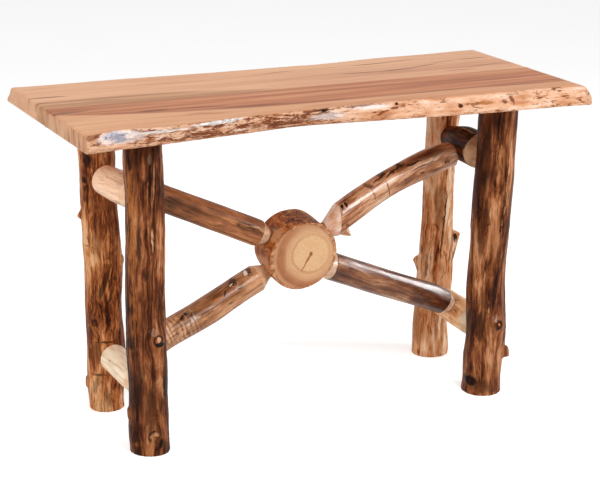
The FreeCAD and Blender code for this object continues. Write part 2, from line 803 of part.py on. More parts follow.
save("rail_tenon_screws", Part.makeCompound([screw.solid() for leg, rail, screw in rail_screws]))
save("brace_tenon_screws", Part.makeCompound([screw.solid() for rail, brace, screw in brace_screws]))
save("hub_tenon_screws", Part.makeCompound([screw.solid() for brace, screw in hub_screws]))
save("leg_screw_plugs", Part.makeCompound([screw.plug() for leg, rail, screw in rail_screws]))
save("rail_screw_plugs", Part.makeCompound([screw.plug() for rail, brace, screw in brace_screws]))
save("hub_screw_plugs", Part.makeCompound([screw.plug() for brace, screw in hub_screws]))
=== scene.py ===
import math

import bpy
import numpy as np
from mathutils import Euler, Matrix, Vector


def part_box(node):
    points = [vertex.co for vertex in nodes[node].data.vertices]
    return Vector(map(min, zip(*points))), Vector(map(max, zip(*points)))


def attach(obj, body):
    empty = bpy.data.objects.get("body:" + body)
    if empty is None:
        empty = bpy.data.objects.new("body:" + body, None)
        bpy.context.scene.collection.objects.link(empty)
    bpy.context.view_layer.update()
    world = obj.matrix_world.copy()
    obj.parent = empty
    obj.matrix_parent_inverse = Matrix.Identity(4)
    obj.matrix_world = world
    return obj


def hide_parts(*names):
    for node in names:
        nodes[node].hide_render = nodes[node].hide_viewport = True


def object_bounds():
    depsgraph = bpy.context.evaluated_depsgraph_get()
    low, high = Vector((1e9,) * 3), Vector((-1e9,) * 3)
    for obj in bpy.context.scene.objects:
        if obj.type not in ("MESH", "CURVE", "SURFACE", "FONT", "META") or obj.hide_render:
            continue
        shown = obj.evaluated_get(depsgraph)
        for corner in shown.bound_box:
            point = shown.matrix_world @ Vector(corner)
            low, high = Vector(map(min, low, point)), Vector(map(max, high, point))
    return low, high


# Looks of the rustic log sofa table. Lengths are in metres, and in millimetres in the rows of marks.
# The frame is that of the CAD model: the origin is on the floor under the middle of the top, +X runs to the
# right end and +Y to the back.

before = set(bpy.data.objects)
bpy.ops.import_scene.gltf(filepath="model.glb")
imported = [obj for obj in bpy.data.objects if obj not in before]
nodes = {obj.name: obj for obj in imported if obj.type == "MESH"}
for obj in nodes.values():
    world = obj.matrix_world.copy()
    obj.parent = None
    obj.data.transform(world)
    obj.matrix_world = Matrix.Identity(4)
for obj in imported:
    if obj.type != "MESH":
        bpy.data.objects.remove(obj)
cad_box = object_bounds()

board_voxel = 0.0035
leg_voxel = 0.0026
log_voxel = 0.0022
weld_gap = 0.00001
group_steps = 20
smooth_below = 50  # degrees between two faces
collar_radii = (2.2, 2.2, 2.8)  # in radii of the knot
heart_radii = (0.8, 0.8, 0.8)
top_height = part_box("top_board_front")[1].z
glue_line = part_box("top_board_front")[1].y
end_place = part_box("top_board_front")[1].x
front_edge = cad_box[0].y
top_depth = cad_box[1].y - front_edge

# The run of each log's grain: the middle of the log at a few places along it
leg_runs = {
    "leg_front_left": ((-0.438, -0.147, 0.0), (-0.446, -0.145, 0.30), (-0.446, -0.147, 0.722)),
    "leg_back_left": ((-0.441, 0.128, 0.0), (-0.444, 0.129, 0.36), (-0.457, 0.127, 0.722)),
    "leg_front_right": ((0.432, -0.147, 0.0), (0.432, -0.146, 0.36), (0.445, -0.147, 0.722)),
    "leg_back_right": ((0.446, 0.128, 0.0), (0.454, 0.127, 0.36), (0.461, 0.127, 0.722)),
}
rail_runs = {
    "end_rail_upper_left": ((-0.446, -0.147, 0.582), (-0.455, 0.127, 0.567)),
    "end_rail_lower_left": ((-0.441, -0.146, 0.145), (-0.442, 0.128, 0.141)),
    "end_rail_upper_right": ((0.440, -0.147, 0.583), (0.459, 0.127, 0.583)),
    "end_rail_lower_right": ((0.434, -0.145, 0.153), (0.451, 0.129, 0.153)),
}
brace_runs = {
    "brace_upper_left": ((-0.022, -0.0095, 0.385), (-0.452, -0.0095, 0.585)),
    "brace_lower_left": (
        (-0.022, -0.0095, 0.368), (-0.140, -0.0095, 0.307), (-0.300, -0.0095, 0.233), (-0.441, -0.0095, 0.143)),
    "brace_upper_right": (
        (-0.022, -0.0095, 0.380), (0.090, -0.0095, 0.434), (0.150, -0.0095, 0.468), (0.225, -0.0095, 0.508),
        (0.300, -0.0095, 0.541), (0.370, -0.0095, 0.561), (0.449, -0.0095, 0.576)),
    "brace_lower_right": (
        (-0.022, -0.0095, 0.367), (0.150, -0.0095, 0.292), (0.330, -0.0095, 0.219), (0.442, -0.0095, 0.158)),
}
hub_run = ((-0.022, -0.067, 0.375), (-0.013, 0.048, 0.378))


def in_metres(lengths):
    """Millimetres turned into metres."""
    return tuple(length / 1000 for length in lengths)


# Modelling

def pick_only(piece):
    """Selects this piece alone and makes it the active one."""
    bpy.ops.object.select_all(action="DESELECT")
    piece.select_set(True)
    bpy.context.view_layer.objects.active = piece


def finish_modifier(piece, modifier):
    pick_only(piece)
    bpy.ops.object.modifier_apply(modifier=modifier.name)


def copy_of_node(node, name):
    """The CAD node's mesh as a new piece, with its loose triangles merged."""
    piece = nodes[node].copy()
    piece.data = nodes[node].data.copy()
    piece.name = name
    piece.parent = None
    for key in list(piece.keys()):
        del piece[key]
    bpy.context.scene.collection.objects.link(piece)
    piece.data.materials.clear()
    pick_only(piece)
    bpy.ops.object.mode_set(mode="EDIT")
    bpy.ops.mesh.select_all(action="SELECT")
    bpy.ops.mesh.remove_doubles(threshold=weld_gap)
    bpy.ops.object.mode_set(mode="OBJECT")
    return piece


def remeshed(piece, voxel):
    remesh = piece.modifiers.new("even_skin", "REMESH")
    remesh.mode = "VOXEL"
    remesh.voxel_size = voxel
    remesh.use_smooth_shade = True
    finish_modifier(piece, remesh)


def point_rows(piece, field):
    """The place ("co") or the normal of each point."""
    rows = np.empty(len(piece.data.vertices) * 3, np.float32)
    piece.data.vertices.foreach_get(field, rows)
    return rows.reshape(-1, 3).astype(float)


def mask_group(piece, name, weights):
    """Vertex group with a weight for each point, in even steps."""
    group = piece.vertex_groups.new(name=name)
    steps = np.rint(np.clip(weights, 0, 1) * group_steps).astype(int)
    for step in range(1, group_steps + 1):
        members = np.nonzero(steps == step)[0]
        if len(members):
            group.add(members.tolist(), step / group_steps, "REPLACE")
    return name


def store(piece, name, values):
    """Point attribute: one number, or three, for each point."""
    values = np.asarray(values, np.float32)
    kind, field = ("FLOAT_VECTOR", "vector") if values.ndim == 2 else ("FLOAT", "value")
    piece.data.attributes.new(name, kind, "POINT").data.foreach_set(field, values.ravel())


def smooth_step(low, high, values):
    way = np.clip((values - low) / (high - low), 0, 1)
    return way * way * (3 - 2 * way)


def along_run(places, run):
    """For each point: its offset across the log and its place along it as one row, and the log's heading there."""
    run = np.array(run, float)
    past_ends = 1.0
    best = np.full(len(places), np.inf)
    result = np.zeros((len(places), 3))
    heading_at = np.zeros((len(places), 3))
    passed = 0.0
    # the offset is measured from a plane along the depth of the table, or for a log along the depth, from upright
    whole = run[-1] - run[0]
    along_depth = abs(whole[2]) <= 0.6 * np.linalg.norm(whole) and abs(whole[0]) <= 0.1
    reference = np.array((0.0, 0.0, 1.0) if along_depth else (0.0, 1.0, 0.0))
    for index in range(len(run) - 1):
        start, end = run[index], run[index + 1]
        length = np.linalg.norm(end - start)
        heading = (end - start) / length
        across = reference - heading * reference.dot(heading)
        across /= np.linalg.norm(across)
        beside = np.cross(heading, across)
        offset = places - start
        low = -past_ends if index == 0 else 0.0
        high = length + past_ends if index == len(run) - 2 else length
        nearest = np.clip(offset @ heading, low, high)
        miss = np.linalg.norm(offset - nearest[:, None] * heading, axis=1)
        closer = miss < best
        best[closer] = miss[closer]
        rows = np.stack((offset @ across, offset @ beside, passed + nearest), axis=1)
        result[closer] = rows[closer]
        heading_at[closer] = heading
        passed += length
    return result, heading_at


def displaced(piece, name, pattern, place, stretch, turn, strength, middle, group=None):
    """Moves the skin in or out by a pattern that a guide places, stretches and turns."""
    guide = bpy.data.objects.new(name, None)
    guide.matrix_world = Matrix.LocRotScale(Vector(place), Euler(turn), Vector(stretch))
    bpy.context.scene.collection.objects.link(guide)
    bpy.context.view_layer.update()
    displace = piece.modifiers.new(name, "DISPLACE")
    displace.texture = pattern
    displace.texture_coords = "OBJECT"
    displace.texture_coords_object = guide
    displace.strength = strength
    displace.mid_level = middle
    if group:
        displace.vertex_group = group
    finish_modifier(piece, displace)
    bpy.data.objects.remove(guide)


def swell(piece, name, size, strength, group, middle=0.5, place=(0, 0, 0), stretch=(1, 1, 1), turn=(0, 0, 0)):
    """Pushes the skin in and out by a cloudy pattern."""
    pattern = bpy.data.textures.new(name, "CLOUDS")
    pattern.noise_scale = size
    pattern.noise_depth = 2
    displaced(piece, name, pattern, place, stretch, turn, strength, middle, group)


def press(piece, name, place, radii, height):
    """Raises a knot on the skin, or sinks its heart, round one place."""
    pattern = bpy.data.textures.new(name, "BLEND")
    pattern.progression = "SPHERICAL"
    displaced(piece, name, pattern, place, radii, (0, 0, 0), height, 0.0)


def smooth_shaded(piece):
    pick_only(piece)
    bpy.ops.object.shade_smooth_by_angle(angle=math.radians(smooth_below))


def settle(piece, node, finish):
    """The piece stands for its CAD node and takes its finish."""
    piece.data.materials.append(finish)
    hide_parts(node)
    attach(piece, "root")


def middle_offset(place, run):
    """Offset of a place from the nearest point of its log's middle."""
    best = None
    for start, end in zip(run[:-1], run[1:]):
        start, end = np.array(start), np.array(end)
        share = np.clip((place - start).dot(end - start) / (end - start).dot(end - start), 0, 1)
        offset = place - (start + share * (end - start))
        if best is None or np.linalg.norm(offset) < np.linalg.norm(best):
            best = offset
    return best


def flow_round_knots(places, grain, run, knots):
    """Lets the grain run round each knot, and gives for each point how near it is to a knot's middle."""
    probe = 0.01
    push = -0.80
    stub_mark = 0.62
    wide, long, oval, reach = 2.0, 3.6, 1.2, 3  # in radii of the knot
    near = np.zeros(len(places))
    for place, radius, height in knots:
        place = np.array(place, float)
        knot_grain, knot_heading = along_run(place[None, :], run)
        heading = knot_heading[0]
        middle = place - middle_offset(place, run)
        outward = place - middle
        outward /= np.linalg.norm(outward)
        across = np.cross(heading, outward)
        offset = places - place
        beside = offset @ across
        along = offset @ heading
        same_side = (places - middle) @ outward > 0
        pull = np.exp(-(beside / (wide * radius)) ** 2 - (along / (long * radius)) ** 2) * same_side
        probe_grain, _ = along_run((place + across * probe)[None, :], run)
        way = (probe_grain[0] - knot_grain[0]) / probe
        grain += (push * beside * pull)[:, None] * way[None, :]
        ring = np.sqrt((beside / radius) ** 2 + (along / (oval * radius)) ** 2)
        near = np.maximum(near, np.clip(1 - ring / reach, 0, 1) * same_side * (1.0 if height else stub_mark))
    return grain, near


def log_piece(node, run, voxel, ridges, lumps, knots=(), turned_start=0.0, turned_end=0.0):
    """Peeled log: uneven skin with ridges along the grain, raised knots, and clean turned ends."""
    piece = copy_of_node(node, node + "_log")
    remeshed(piece, voxel)
    places = point_rows(piece, "co")
    grain, heading = along_run(places, run)
    length = sum(np.linalg.norm(np.array(end) - np.array(start)) for start, end in zip(run[:-1], run[1:]))
    slant = np.abs(np.einsum("ij,ij->i", point_rows(piece, "normal"), heading))
    soft = 0.01
    near_start = 1 - smooth_step(turned_start - soft, turned_start, grain[:, 2])
    near_end = smooth_step(length - turned_end, length - turned_end + soft, grain[:, 2])
    turned = smooth_step(0.24, 0.36, slant) * np.maximum(near_start, near_end)
    off_floor = smooth_step(0.002, 0.010, places[:, 2])
    turned_quiet = 0.85
    bark = mask_group(piece, "bark", (1 - turned_quiet * turned) * off_floor)
    turn = (Vector(run[-1]) - Vector(run[0])).to_track_quat("Z", "Y").to_euler()
    for kind, size, strength, stretch in (
            ("lumps", 0.07, lumps, 1.6), ("ridges", 0.015, ridges, 8), ("nicks", 0.008, ridges * 0.45, 3)):
        swell(piece, node + "_" + kind, size, strength, bark, place=run[0], stretch=(1, 1, stretch), turn=turn)
    for number, (place, radius, height) in enumerate(knots):
        if height:
            for part, radii, raised in (("collar", collar_radii, height), ("heart", heart_radii, -0.7 * height)):
                press(piece, "%s_%s_%d" % (node, part, number), place, [share * radius for share in radii], raised)
    grain, near = flow_round_knots(places, grain, run, knots)
    store(piece, "grain", grain)
    store(piece, "turned", turned)
    store(piece, "knot", near)
    smooth_shaded(piece)
    return piece


# Shader building

def paint(text):
    """Shader colour from a six-digit colour number."""
    parts = [int(text[index:index + 2], 16) / 255 for index in (1, 3, 5)]
    linear = [part / 12.92 if part <= 0.04045 else ((part + 0.055) / 1.055) ** 2.4 for part in parts]
    return (*linear, 1.0)


class Finish:
    """A wood finish built from nodes."""

    def __init__(self, name, roughness, coat=0.0, coat_roughness=0.2, shine=0.10):
        self.material = bpy.data.materials.new(name)
        self.material.use_nodes = True
        self.tree = self.material.node_tree
        self.shader = self.tree.nodes["Principled BSDF"]
        for socket, value in (("Roughness", roughness), ("Coat Weight", coat), ("Coat Roughness", coat_roughness),
                              ("Coat IOR", 1.5), ("Specular IOR Level", shine)):
            self.shader.inputs[socket].default_value = value

    def feed(self, socket, value):
        """Links a node's output to a socket, or sets it to a number, a place or a colour number."""
        if isinstance(value, bpy.types.NodeSocket):
            self.tree.links.new(value, socket)
        else:
            socket.default_value = paint(value) if isinstance(value, str) else value

    def node(self, kind, feeds=None, **settings):
        """A new node with its settings, and with its inputs fed by name or number."""
        made = self.tree.nodes.new(kind)
        for key, value in settings.items():
            setattr(made, key, value)
        for socket, value in (feeds or {}).items():
            self.feed(made.inputs[socket], value)
        return made

    def object_place(self):
        return self.node("ShaderNodeTexCoord").outputs["Object"]

    def attribute(self, name, output="Fac"):
        return self.node("ShaderNodeAttribute", attribute_name=name).outputs[output]

    def parts(self, place):
        """The X, Y and Z of a place."""
        return self.node("ShaderNodeSeparateXYZ", {0: place}).outputs

    def worked(self, operation, first, *others):
        for other in others:
            first = self.node("ShaderNodeMath", {0: first, 1: other}, operation=operation).outputs[0]
        return first

    def sum(self, *terms):
        return self.worked("ADD", *terms)

    def times(self, *factors):
        return self.worked("MULTIPLY", *factors)

    def swing(self, cloud, size):
        """A cloud from 0 to 1 made to swing about 0."""
        return self.times(self.sum(cloud, -0.5), size)

    def span(self, value, low, high, to_low=0.0, to_high=1.0):
        """Smooth step from to_low, where the value is low, to to_high."""
        return self.node("ShaderNodeMapRange", {
            "Value": value, "From Min": low, "From Max": high, "To Min": to_low, "To Max": to_high},
            interpolation_type="SMOOTHSTEP").outputs["Result"]

    def stretched(self, place, scale, shift=(0, 0, 0)):
        return self.node("ShaderNodeMapping", {"Vector": place, "Scale": scale, "Location": shift}).outputs["Vector"]

    def noise(self, place, scale, shift, **feeds):
        """Noise whose cells have the given counts per metre."""
        return self.node("ShaderNodeTexNoise", {"Vector": self.stretched(place, scale, shift), "Scale": 1.0, **feeds})

    def cloud(self, place, scale, shift=(0, 0, 0), detail=4.0, rough=0.55, swirl=0.0):
        """Noise from 0 to 1."""
        return self.noise(place, scale, shift, Detail=detail, Roughness=rough, Distortion=swirl).outputs["Fac"]

    def vectors(self, operation, a, b):
        return self.node("ShaderNodeVectorMath", {0: a, 1: b}, operation=operation).outputs["Vector"]

    def swayed(self, place, scale, amount, shift=(0, 0, 0)):
        """The place moved about by a slow noise, so that lines on it wander."""
        noise = self.noise(place, scale, shift, Detail=3.0).outputs["Color"]
        centred = self.vectors("SUBTRACT", noise, (0.5, 0.5, 0.5))
        return self.vectors("ADD", place, self.vectors("MULTIPLY", centred, amount))

    def shades(self, value, stops):
        """Colour ramp through (place, colour) stops."""
        made = self.node("ShaderNodeValToRGB", {"Fac": value})
        ramp = made.color_ramp
        while len(ramp.elements) < len(stops):
            ramp.elements.new(0.5)
        for element, (place, colour) in zip(ramp.elements, stops):
            element.position = place
            element.color = paint(colour)
        return made.outputs["Color"]

    def blend(self, amount, first, second, kind="MIX"):
        factor, a, b = 0, 6, 7
        made = self.node("ShaderNodeMix", {factor: amount, a: first, b: second}, data_type="RGBA", blend_type=kind)
        return made.outputs[2]

    def oval(self, place, middle, radii, turn=0.0, about="Y"):
        """1 in the middle of an oval mark, falling to 0 at its rim. The turn is in degrees."""
        angles = [math.radians(turn) if axis == about else 0.0 for axis in "XYZ"]
        inside = self.node("ShaderNodeMapping", {
            "Vector": place, "Location": middle, "Scale": radii, "Rotation": angles}, vector_type="TEXTURE")
        fade = self.node("ShaderNodeTexGradient", {0: inside.outputs["Vector"]}, gradient_type="SPHERICAL")
        return fade.outputs["Fac"]

    def dab(self, colour, shade, mark, low, high, strength):
        """The colour with a shade laid on it, from none where the mark is low to its full strength."""
        return self.blend(self.span(mark, low, high, 0, strength), colour, shade)

    def curve(self, value, points):
        """Value read from a smooth curve through (place, height) points, both from 0 to 1."""
        made = self.node("ShaderNodeFloatCurve", {"Value": value})
        line = made.mapping.curves[0]
        while len(line.points) < len(points):
            line.points.new(0.5, 0.5)
        for point, (place, height) in zip(line.points, points):
            point.location = (place, height)
        made.mapping.update()
        return made.outputs["Value"]

    def relief(self, height, distance, strength, **under):
        """Fine relief of a height. With Normal=... it lies on another relief."""
        feeds = {"Height": height, "Distance": distance, "Strength": strength, **under}
        return self.node("ShaderNodeBump", feeds).outputs["Normal"]

    def done(self, colour, normal, roughness=None):
        self.feed(self.shader.inputs["Base Color"], colour)
        self.feed(self.shader.inputs["Normal"], normal)
        if roughness:
            self.feed(self.shader.inputs["Roughness"], roughness)
        return self.material


# Finish of the boards

class BoardFinish(Finish):
    """Sawn sapwood with darker heartwood behind a wandering line, marks on the flat, and a barked-off edge."""

    def __init__(self, name, shades, seed):
        super().__init__(name, 0.45, 0.04, 0.22, 0.05)
        self.at = self.object_place()
        self.place = place = self.swayed(self.at, (2.2, 6.0, 6.0), (0.0, 0.012, 0.012), (seed, 0, 0))
        slow = self.cloud(place, (1.1, 9.0, 7.0), (seed, 1.3, 0.4), 3.0)
        self.grain = self.cloud(place, (2.6, 85.0, 55.0), (0.3, seed, 2.0), 5.0, 0.6)
        self.fine = self.cloud(place, (9.0, 420.0, 240.0), (1.7, 0.2, seed), 3.0, 0.6)
        tone = self.sum(self.times(slow, 0.5), self.times(self.grain, 0.34), self.times(self.fine, 0.16))
        self.colour = self.shades(tone, shades)

    def beside_line(self, points, ragged, side):
        """How far the wood lies behind (side 1) or in front of (side -1) a ragged line, as a share of the depth.

        The line runs through (x, y) points in millimetres."""
        parts = self.parts(self.place)
        along = self.times(self.sum(parts["X"], end_place), 1 / (2 * end_place))
        across = self.times(self.sum(parts["Y"], -front_edge), 1 / top_depth)
        line = self.curve(along, [
            ((x / 1000 + end_place) / (2 * end_place), (y / 1000 - front_edge) / top_depth) for x, y in points])
        across = self.sum(across, self.swing(self.grain, ragged))
        return self.worked("SUBTRACT", *((across, line) if side > 0 else (line, across)))

    def grain_marks(self, rows):
        """Long marks: x, y, half length and half width in millimetres, turn in degrees, shade and strength."""
        for x, y, length, width, turn, shade, strength in rows:
            radii = in_metres((length, width, 60))
            mark = self.oval(self.place, (x / 1000, y / 1000, top_height), radii, turn, "Z")
            self.colour = self.dab(self.colour, shade, mark, 0.0, 0.55, strength)

    def live_edge(self, flecks_left, flecks_right):
        """Peach wood with torn brown flecks, pale ridges and a few holes."""
        wander = self.swayed(self.at, (24.0, 30.0, 40.0), (0.012, 0.0, 0.010))
        peel = self.cloud(wander, (14.0, 30.0, 80.0), (3.1, 0, 0), 5.0, 0.62)
        skin = self.shades(peel, (
            (0.32, "#bf805a"), (0.43, "#d39b76"), (0.53, "#e3b291"), (0.66, "#efcab1"), (0.78, "#fae6dc")))
        along = self.parts(self.at)["X"]
        plenty = self.sum(
            self.span(along, -0.10, 0.06, flecks_left, flecks_right), self.span(along, -0.56, -0.40, -0.06, 0.0))
        torn = self.cloud(wander, (20.0, 40.0, 95.0), (0, 4.2, 0), 6.0, 0.72, 0.4)
        self.bits = self.cloud(wander, (110.0, 160.0, 300.0), (2.0, 4.2, 1.0), 4.0, 0.7, 0.6)
        patchy = self.sum(torn, plenty, self.swing(self.bits, 0.55))
        fleck = self.span(patchy, 0.535, 0.60)
        skin = self.blend(self.times(fleck, 0.85), skin, "#a95a30")
        deep = self.span(patchy, 0.60, 0.68)
        skin = self.blend(self.times(deep, 0.9), skin, "#7a3a1b")
        self.skin = self.blend(self.span(patchy, 0.74, 0.80), skin, "#43200f")
        self.height = self.sum(peel, self.times(fleck, -0.35), self.times(deep, -0.5), self.times(self.bits, 0.25))

    def board_done(self):
        """The edge's skin laid beside the sawn faces, with a sheen and a relief for each."""
        edge = self.attribute("live_edge")
        normal = self.relief(self.times(self.height, edge), 0.0030, 0.9)
        normal = self.relief(self.sum(self.grain, self.fine), 0.0003, 0.5, Normal=normal)
        return self.done(self.blend(edge, self.colour, self.skin), normal, self.span(edge, 0.2, 1.0, 0.42, 0.30))


def front_board_finish():
    finish = BoardFinish("front_board_wood", ((0.34, "#ae6f4a"), (0.47, "#c68c64"), (0.60, "#d6a179")), 2.0)
    # heartwood between the glue line and its wandering front boundary
    inside = finish.beside_line((
        (-615, -74), (-442, -121), (-289, -147), (-100, -165), (100, -168), (294, -167), (615, -180)), 0.06, 1)
    heart_tone = finish.cloud(finish.place, (1.6, 42.0, 30.0), (5.0, 0, 0), 5.0, 0.6)
    heartwood = finish.shades(heart_tone, (
        (0.34, "#8c4f2e"), (0.46, "#a9653f"), (0.58, "#bb7850"), (0.70, "#cd9168")))
    colour = finish.blend(finish.times(finish.span(inside, -0.012, 0.022), 0.92), finish.colour, heartwood)
    rim = finish.times(finish.span(inside, -0.006, 0.010), finish.span(inside, 0.045, 0.012), 0.45)
    colour = finish.blend(rim, colour, "#8c5236")
    # tan wood beside the glue line at the left end
    tan = finish.oval(finish.place, (-0.30, -0.006, top_height), (0.46, 0.034, 0.2), -2, "Z")
    finish.colour = finish.dab(colour, "#a97552", tan, 0.0, 0.7, 0.55)
    finish.grain_marks((
        (-570, -32, 85, 6, -2, "#8e4a28", 0.85),
        (-560, -50, 75, 5, 3, "#8a4a2b", 0.7),
        (-600, -60, 80, 7, 3, "#5d4331", 0.75),
        (-480, -78, 90, 5, -7, "#9a5b3a", 0.6),
        (-405, -103, 50, 10, 2, "#6d3b24", 0.85),
        (-300, -112, 80, 8, -9, "#7c4428", 0.75),
        (-190, -139, 100, 8, -4, "#7a4329", 0.8),
        (-40, -155, 110, 6, -1, "#84492e", 0.6),
        (240, -162, 120, 4, 1, "#7c432a", 0.6),
        (470, -170, 120, 5, -4, "#7c432a", 0.65),
        (-330, -166, 40, 12, 8, "#a5704c", 0.5),
        (-300, -176, 40, 7, -8, "#9a6242", 0.5),
        (-50, -190, 60, 10, 2, "#a87350", 0.5),
        (20, -60, 180, 12, 0, "#a2623f", 0.5),
        (300, -80, 240, 10, 1, "#9f5f3e", 0.5),
        (-460, -40, 140, 12, 2, "#a76d49", 0.6),
    ))
    finish.live_edge(0.072, -0.028)
    # marks on the live edge: middle, half length, half height, shade and strength. The near-white ones are painted
    # highlights along its ridges
    edge_place = finish.swayed(finish.at, (60.0, 60.0, 90.0), (0.012, 0.0, 0.008))
    frayed = finish.swing(finish.bits, 0.5)
    for x, y, z, length, width, shade, strength in (
        (-600, -272, 757, 22, 10, "#7d4322", 0.65),
        (-560, -262, 764, 60, 5, "#8c4d27", 0.8),
        (-450, -249, 752, 100, 3.5, "#fdf3ec", 0.9),
        (-320, -238, 756, 70, 4.5, "#fdf6f2", 0.9),
        (-290, -236, 759, 60, 3.5, "#fdf6f2", 0.9),
        (-56, -226, 758, 14, 5.5, "#241a17", 1.0),
        (-85, -226, 757, 30, 4, "#6e381d", 0.9),
        (-45, -224, 742, 60, 10, "#f7e3dc", 0.75),
        (30, -222, 758, 50, 3.5, "#8d6a64", 0.85),
        (65, -222, 753, 60, 5, "#f5e2dd", 0.8),
        (127, -226, 755, 6, 4, "#3a1c12", 1.0),
        (118, -227, 748, 14, 3.5, "#7c3b20", 0.9),
        (279, -243, 742, 9, 4.5, "#4f2715", 1.0),
        (330, -245, 744, 50, 3.5, "#a5622f", 0.8),
        (415, -250, 746, 8, 10, "#6e331b", 0.85),
        (395, -250, 742, 10, 3.5, "#6e331b", 0.8),
        (540, -245, 761, 20, 2.5, "#5d2d19", 0.9),
    ):
        mark = finish.oval(edge_place, in_metres((x, y, z)), in_metres((length, 50, width)))
        finish.skin = finish.dab(finish.skin, shade, finish.sum(mark, frayed), 0.05, 0.45, strength)
    # speckled grey patch and its pale rim near the left end
    for x, z, length, width, shade, low, strength in (
            (-535, 748, 70, 16, "#f3e4df", 0.40, 0.85), (-548, 752, 36, 10, "#8f9ab4", 0.50, 0.95),
            (-538, 744, 20, 10, "#97a0b6", 0.50, 0.9)):
        patch = finish.oval(edge_place, in_metres((x, -255, z)), in_metres((length, 50, width)))
        specks = finish.span(finish.bits, low, low + 0.06, 0.45, 1.0)
        finish.skin = finish.blend(
            finish.times(finish.span(patch, 0.05, 0.4, 0, strength), specks), finish.skin, shade)
    # sawn left end: upright growth lines
    end_line = finish.cloud(finish.swayed(finish.at, (3.0, 9.0, 9.0), (0.0, 0.03, 0.0)), (4.0, 85.0, 14.0))
    finish.colour = finish.blend(finish.attribute("sawn_end"), finish.colour, finish.shades(end_line, (
        (0.32, "#8d5a3c"), (0.40, "#b9845f"), (0.52, "#cb9974"), (0.66, "#d8aa86"))))
    return finish.board_done()


def back_board_finish():
    finish = BoardFinish("back_board_wood", ((0.34, "#b37955"), (0.47, "#ce9673"), (0.60, "#ddaa84")), 7.0)
    # olive band between the glue line and its wandering back boundary
    inside = finish.beside_line(((-615, 56), (-371, 66), (-200, 36), (-33, -4), (615, -20)), 0.07, -1)
    band_tone = finish.cloud(finish.place, (1.5, 48.0, 30.0), (9.0, 0, 0), 5.0, 0.6)
    olive = finish.shades(band_tone, ((0.36, "#9b6c47"), (0.50, "#b5825b"), (0.64, "#c99870")))
    finish.colour = finish.blend(finish.times(finish.span(inside, -0.015, 0.03), 0.9), finish.colour, olive)
    finish.grain_marks((
        (-560, 200, 60, 6, 3, "#b98361", 0.6),
        (-575, 104, 60, 7, -2, "#8c5135", 0.9),
        (-600, 52, 22, 5, 0, "#7d5037", 0.8),
        (-465, 30, 60, 6, 0, "#9b7550", 0.7),
        (-250, 145, 130, 4, -4, "#b17c5a", 0.75),
        (-40, 156, 150, 4, 8, "#b9835f", 0.6),
        (20, 168, 60, 4, 6, "#9c6645", 0.8),
        (150, 170, 120, 4, 1, "#ad7651", 0.8),
        (270, 174, 70, 6, 2, "#8e5836", 0.9),
        (345, 183, 75, 5, 8, "#9c6643", 0.8),
        (100, 94, 100, 4, -5, "#b9865f", 0.7),
        (200, 88, 75, 6, -3, "#7a5238", 0.9),
        (300, 88, 70, 6, 6, "#6f4a33", 0.95),
        (385, 107, 60, 5, 14, "#8a5a3a", 0.9),
        (460, 138, 60, 4, 8, "#8f5d3c", 0.8),
        (545, 146, 60, 6, 0, "#8a5836", 0.85),
        (440, 30, 60, 4, -2, "#7b5138", 0.8),
        (530, 60, 80, 4, 14, "#8a5c40", 0.7),
        (560, 200, 60, 4, 0, "#b5835c", 0.6),
        (380, 235, 110, 4, -1, "#a87f58", 0.6),
    ))
    finish.live_edge(0.02, 0.0)
    return finish.board_done()


# Finish of the logs

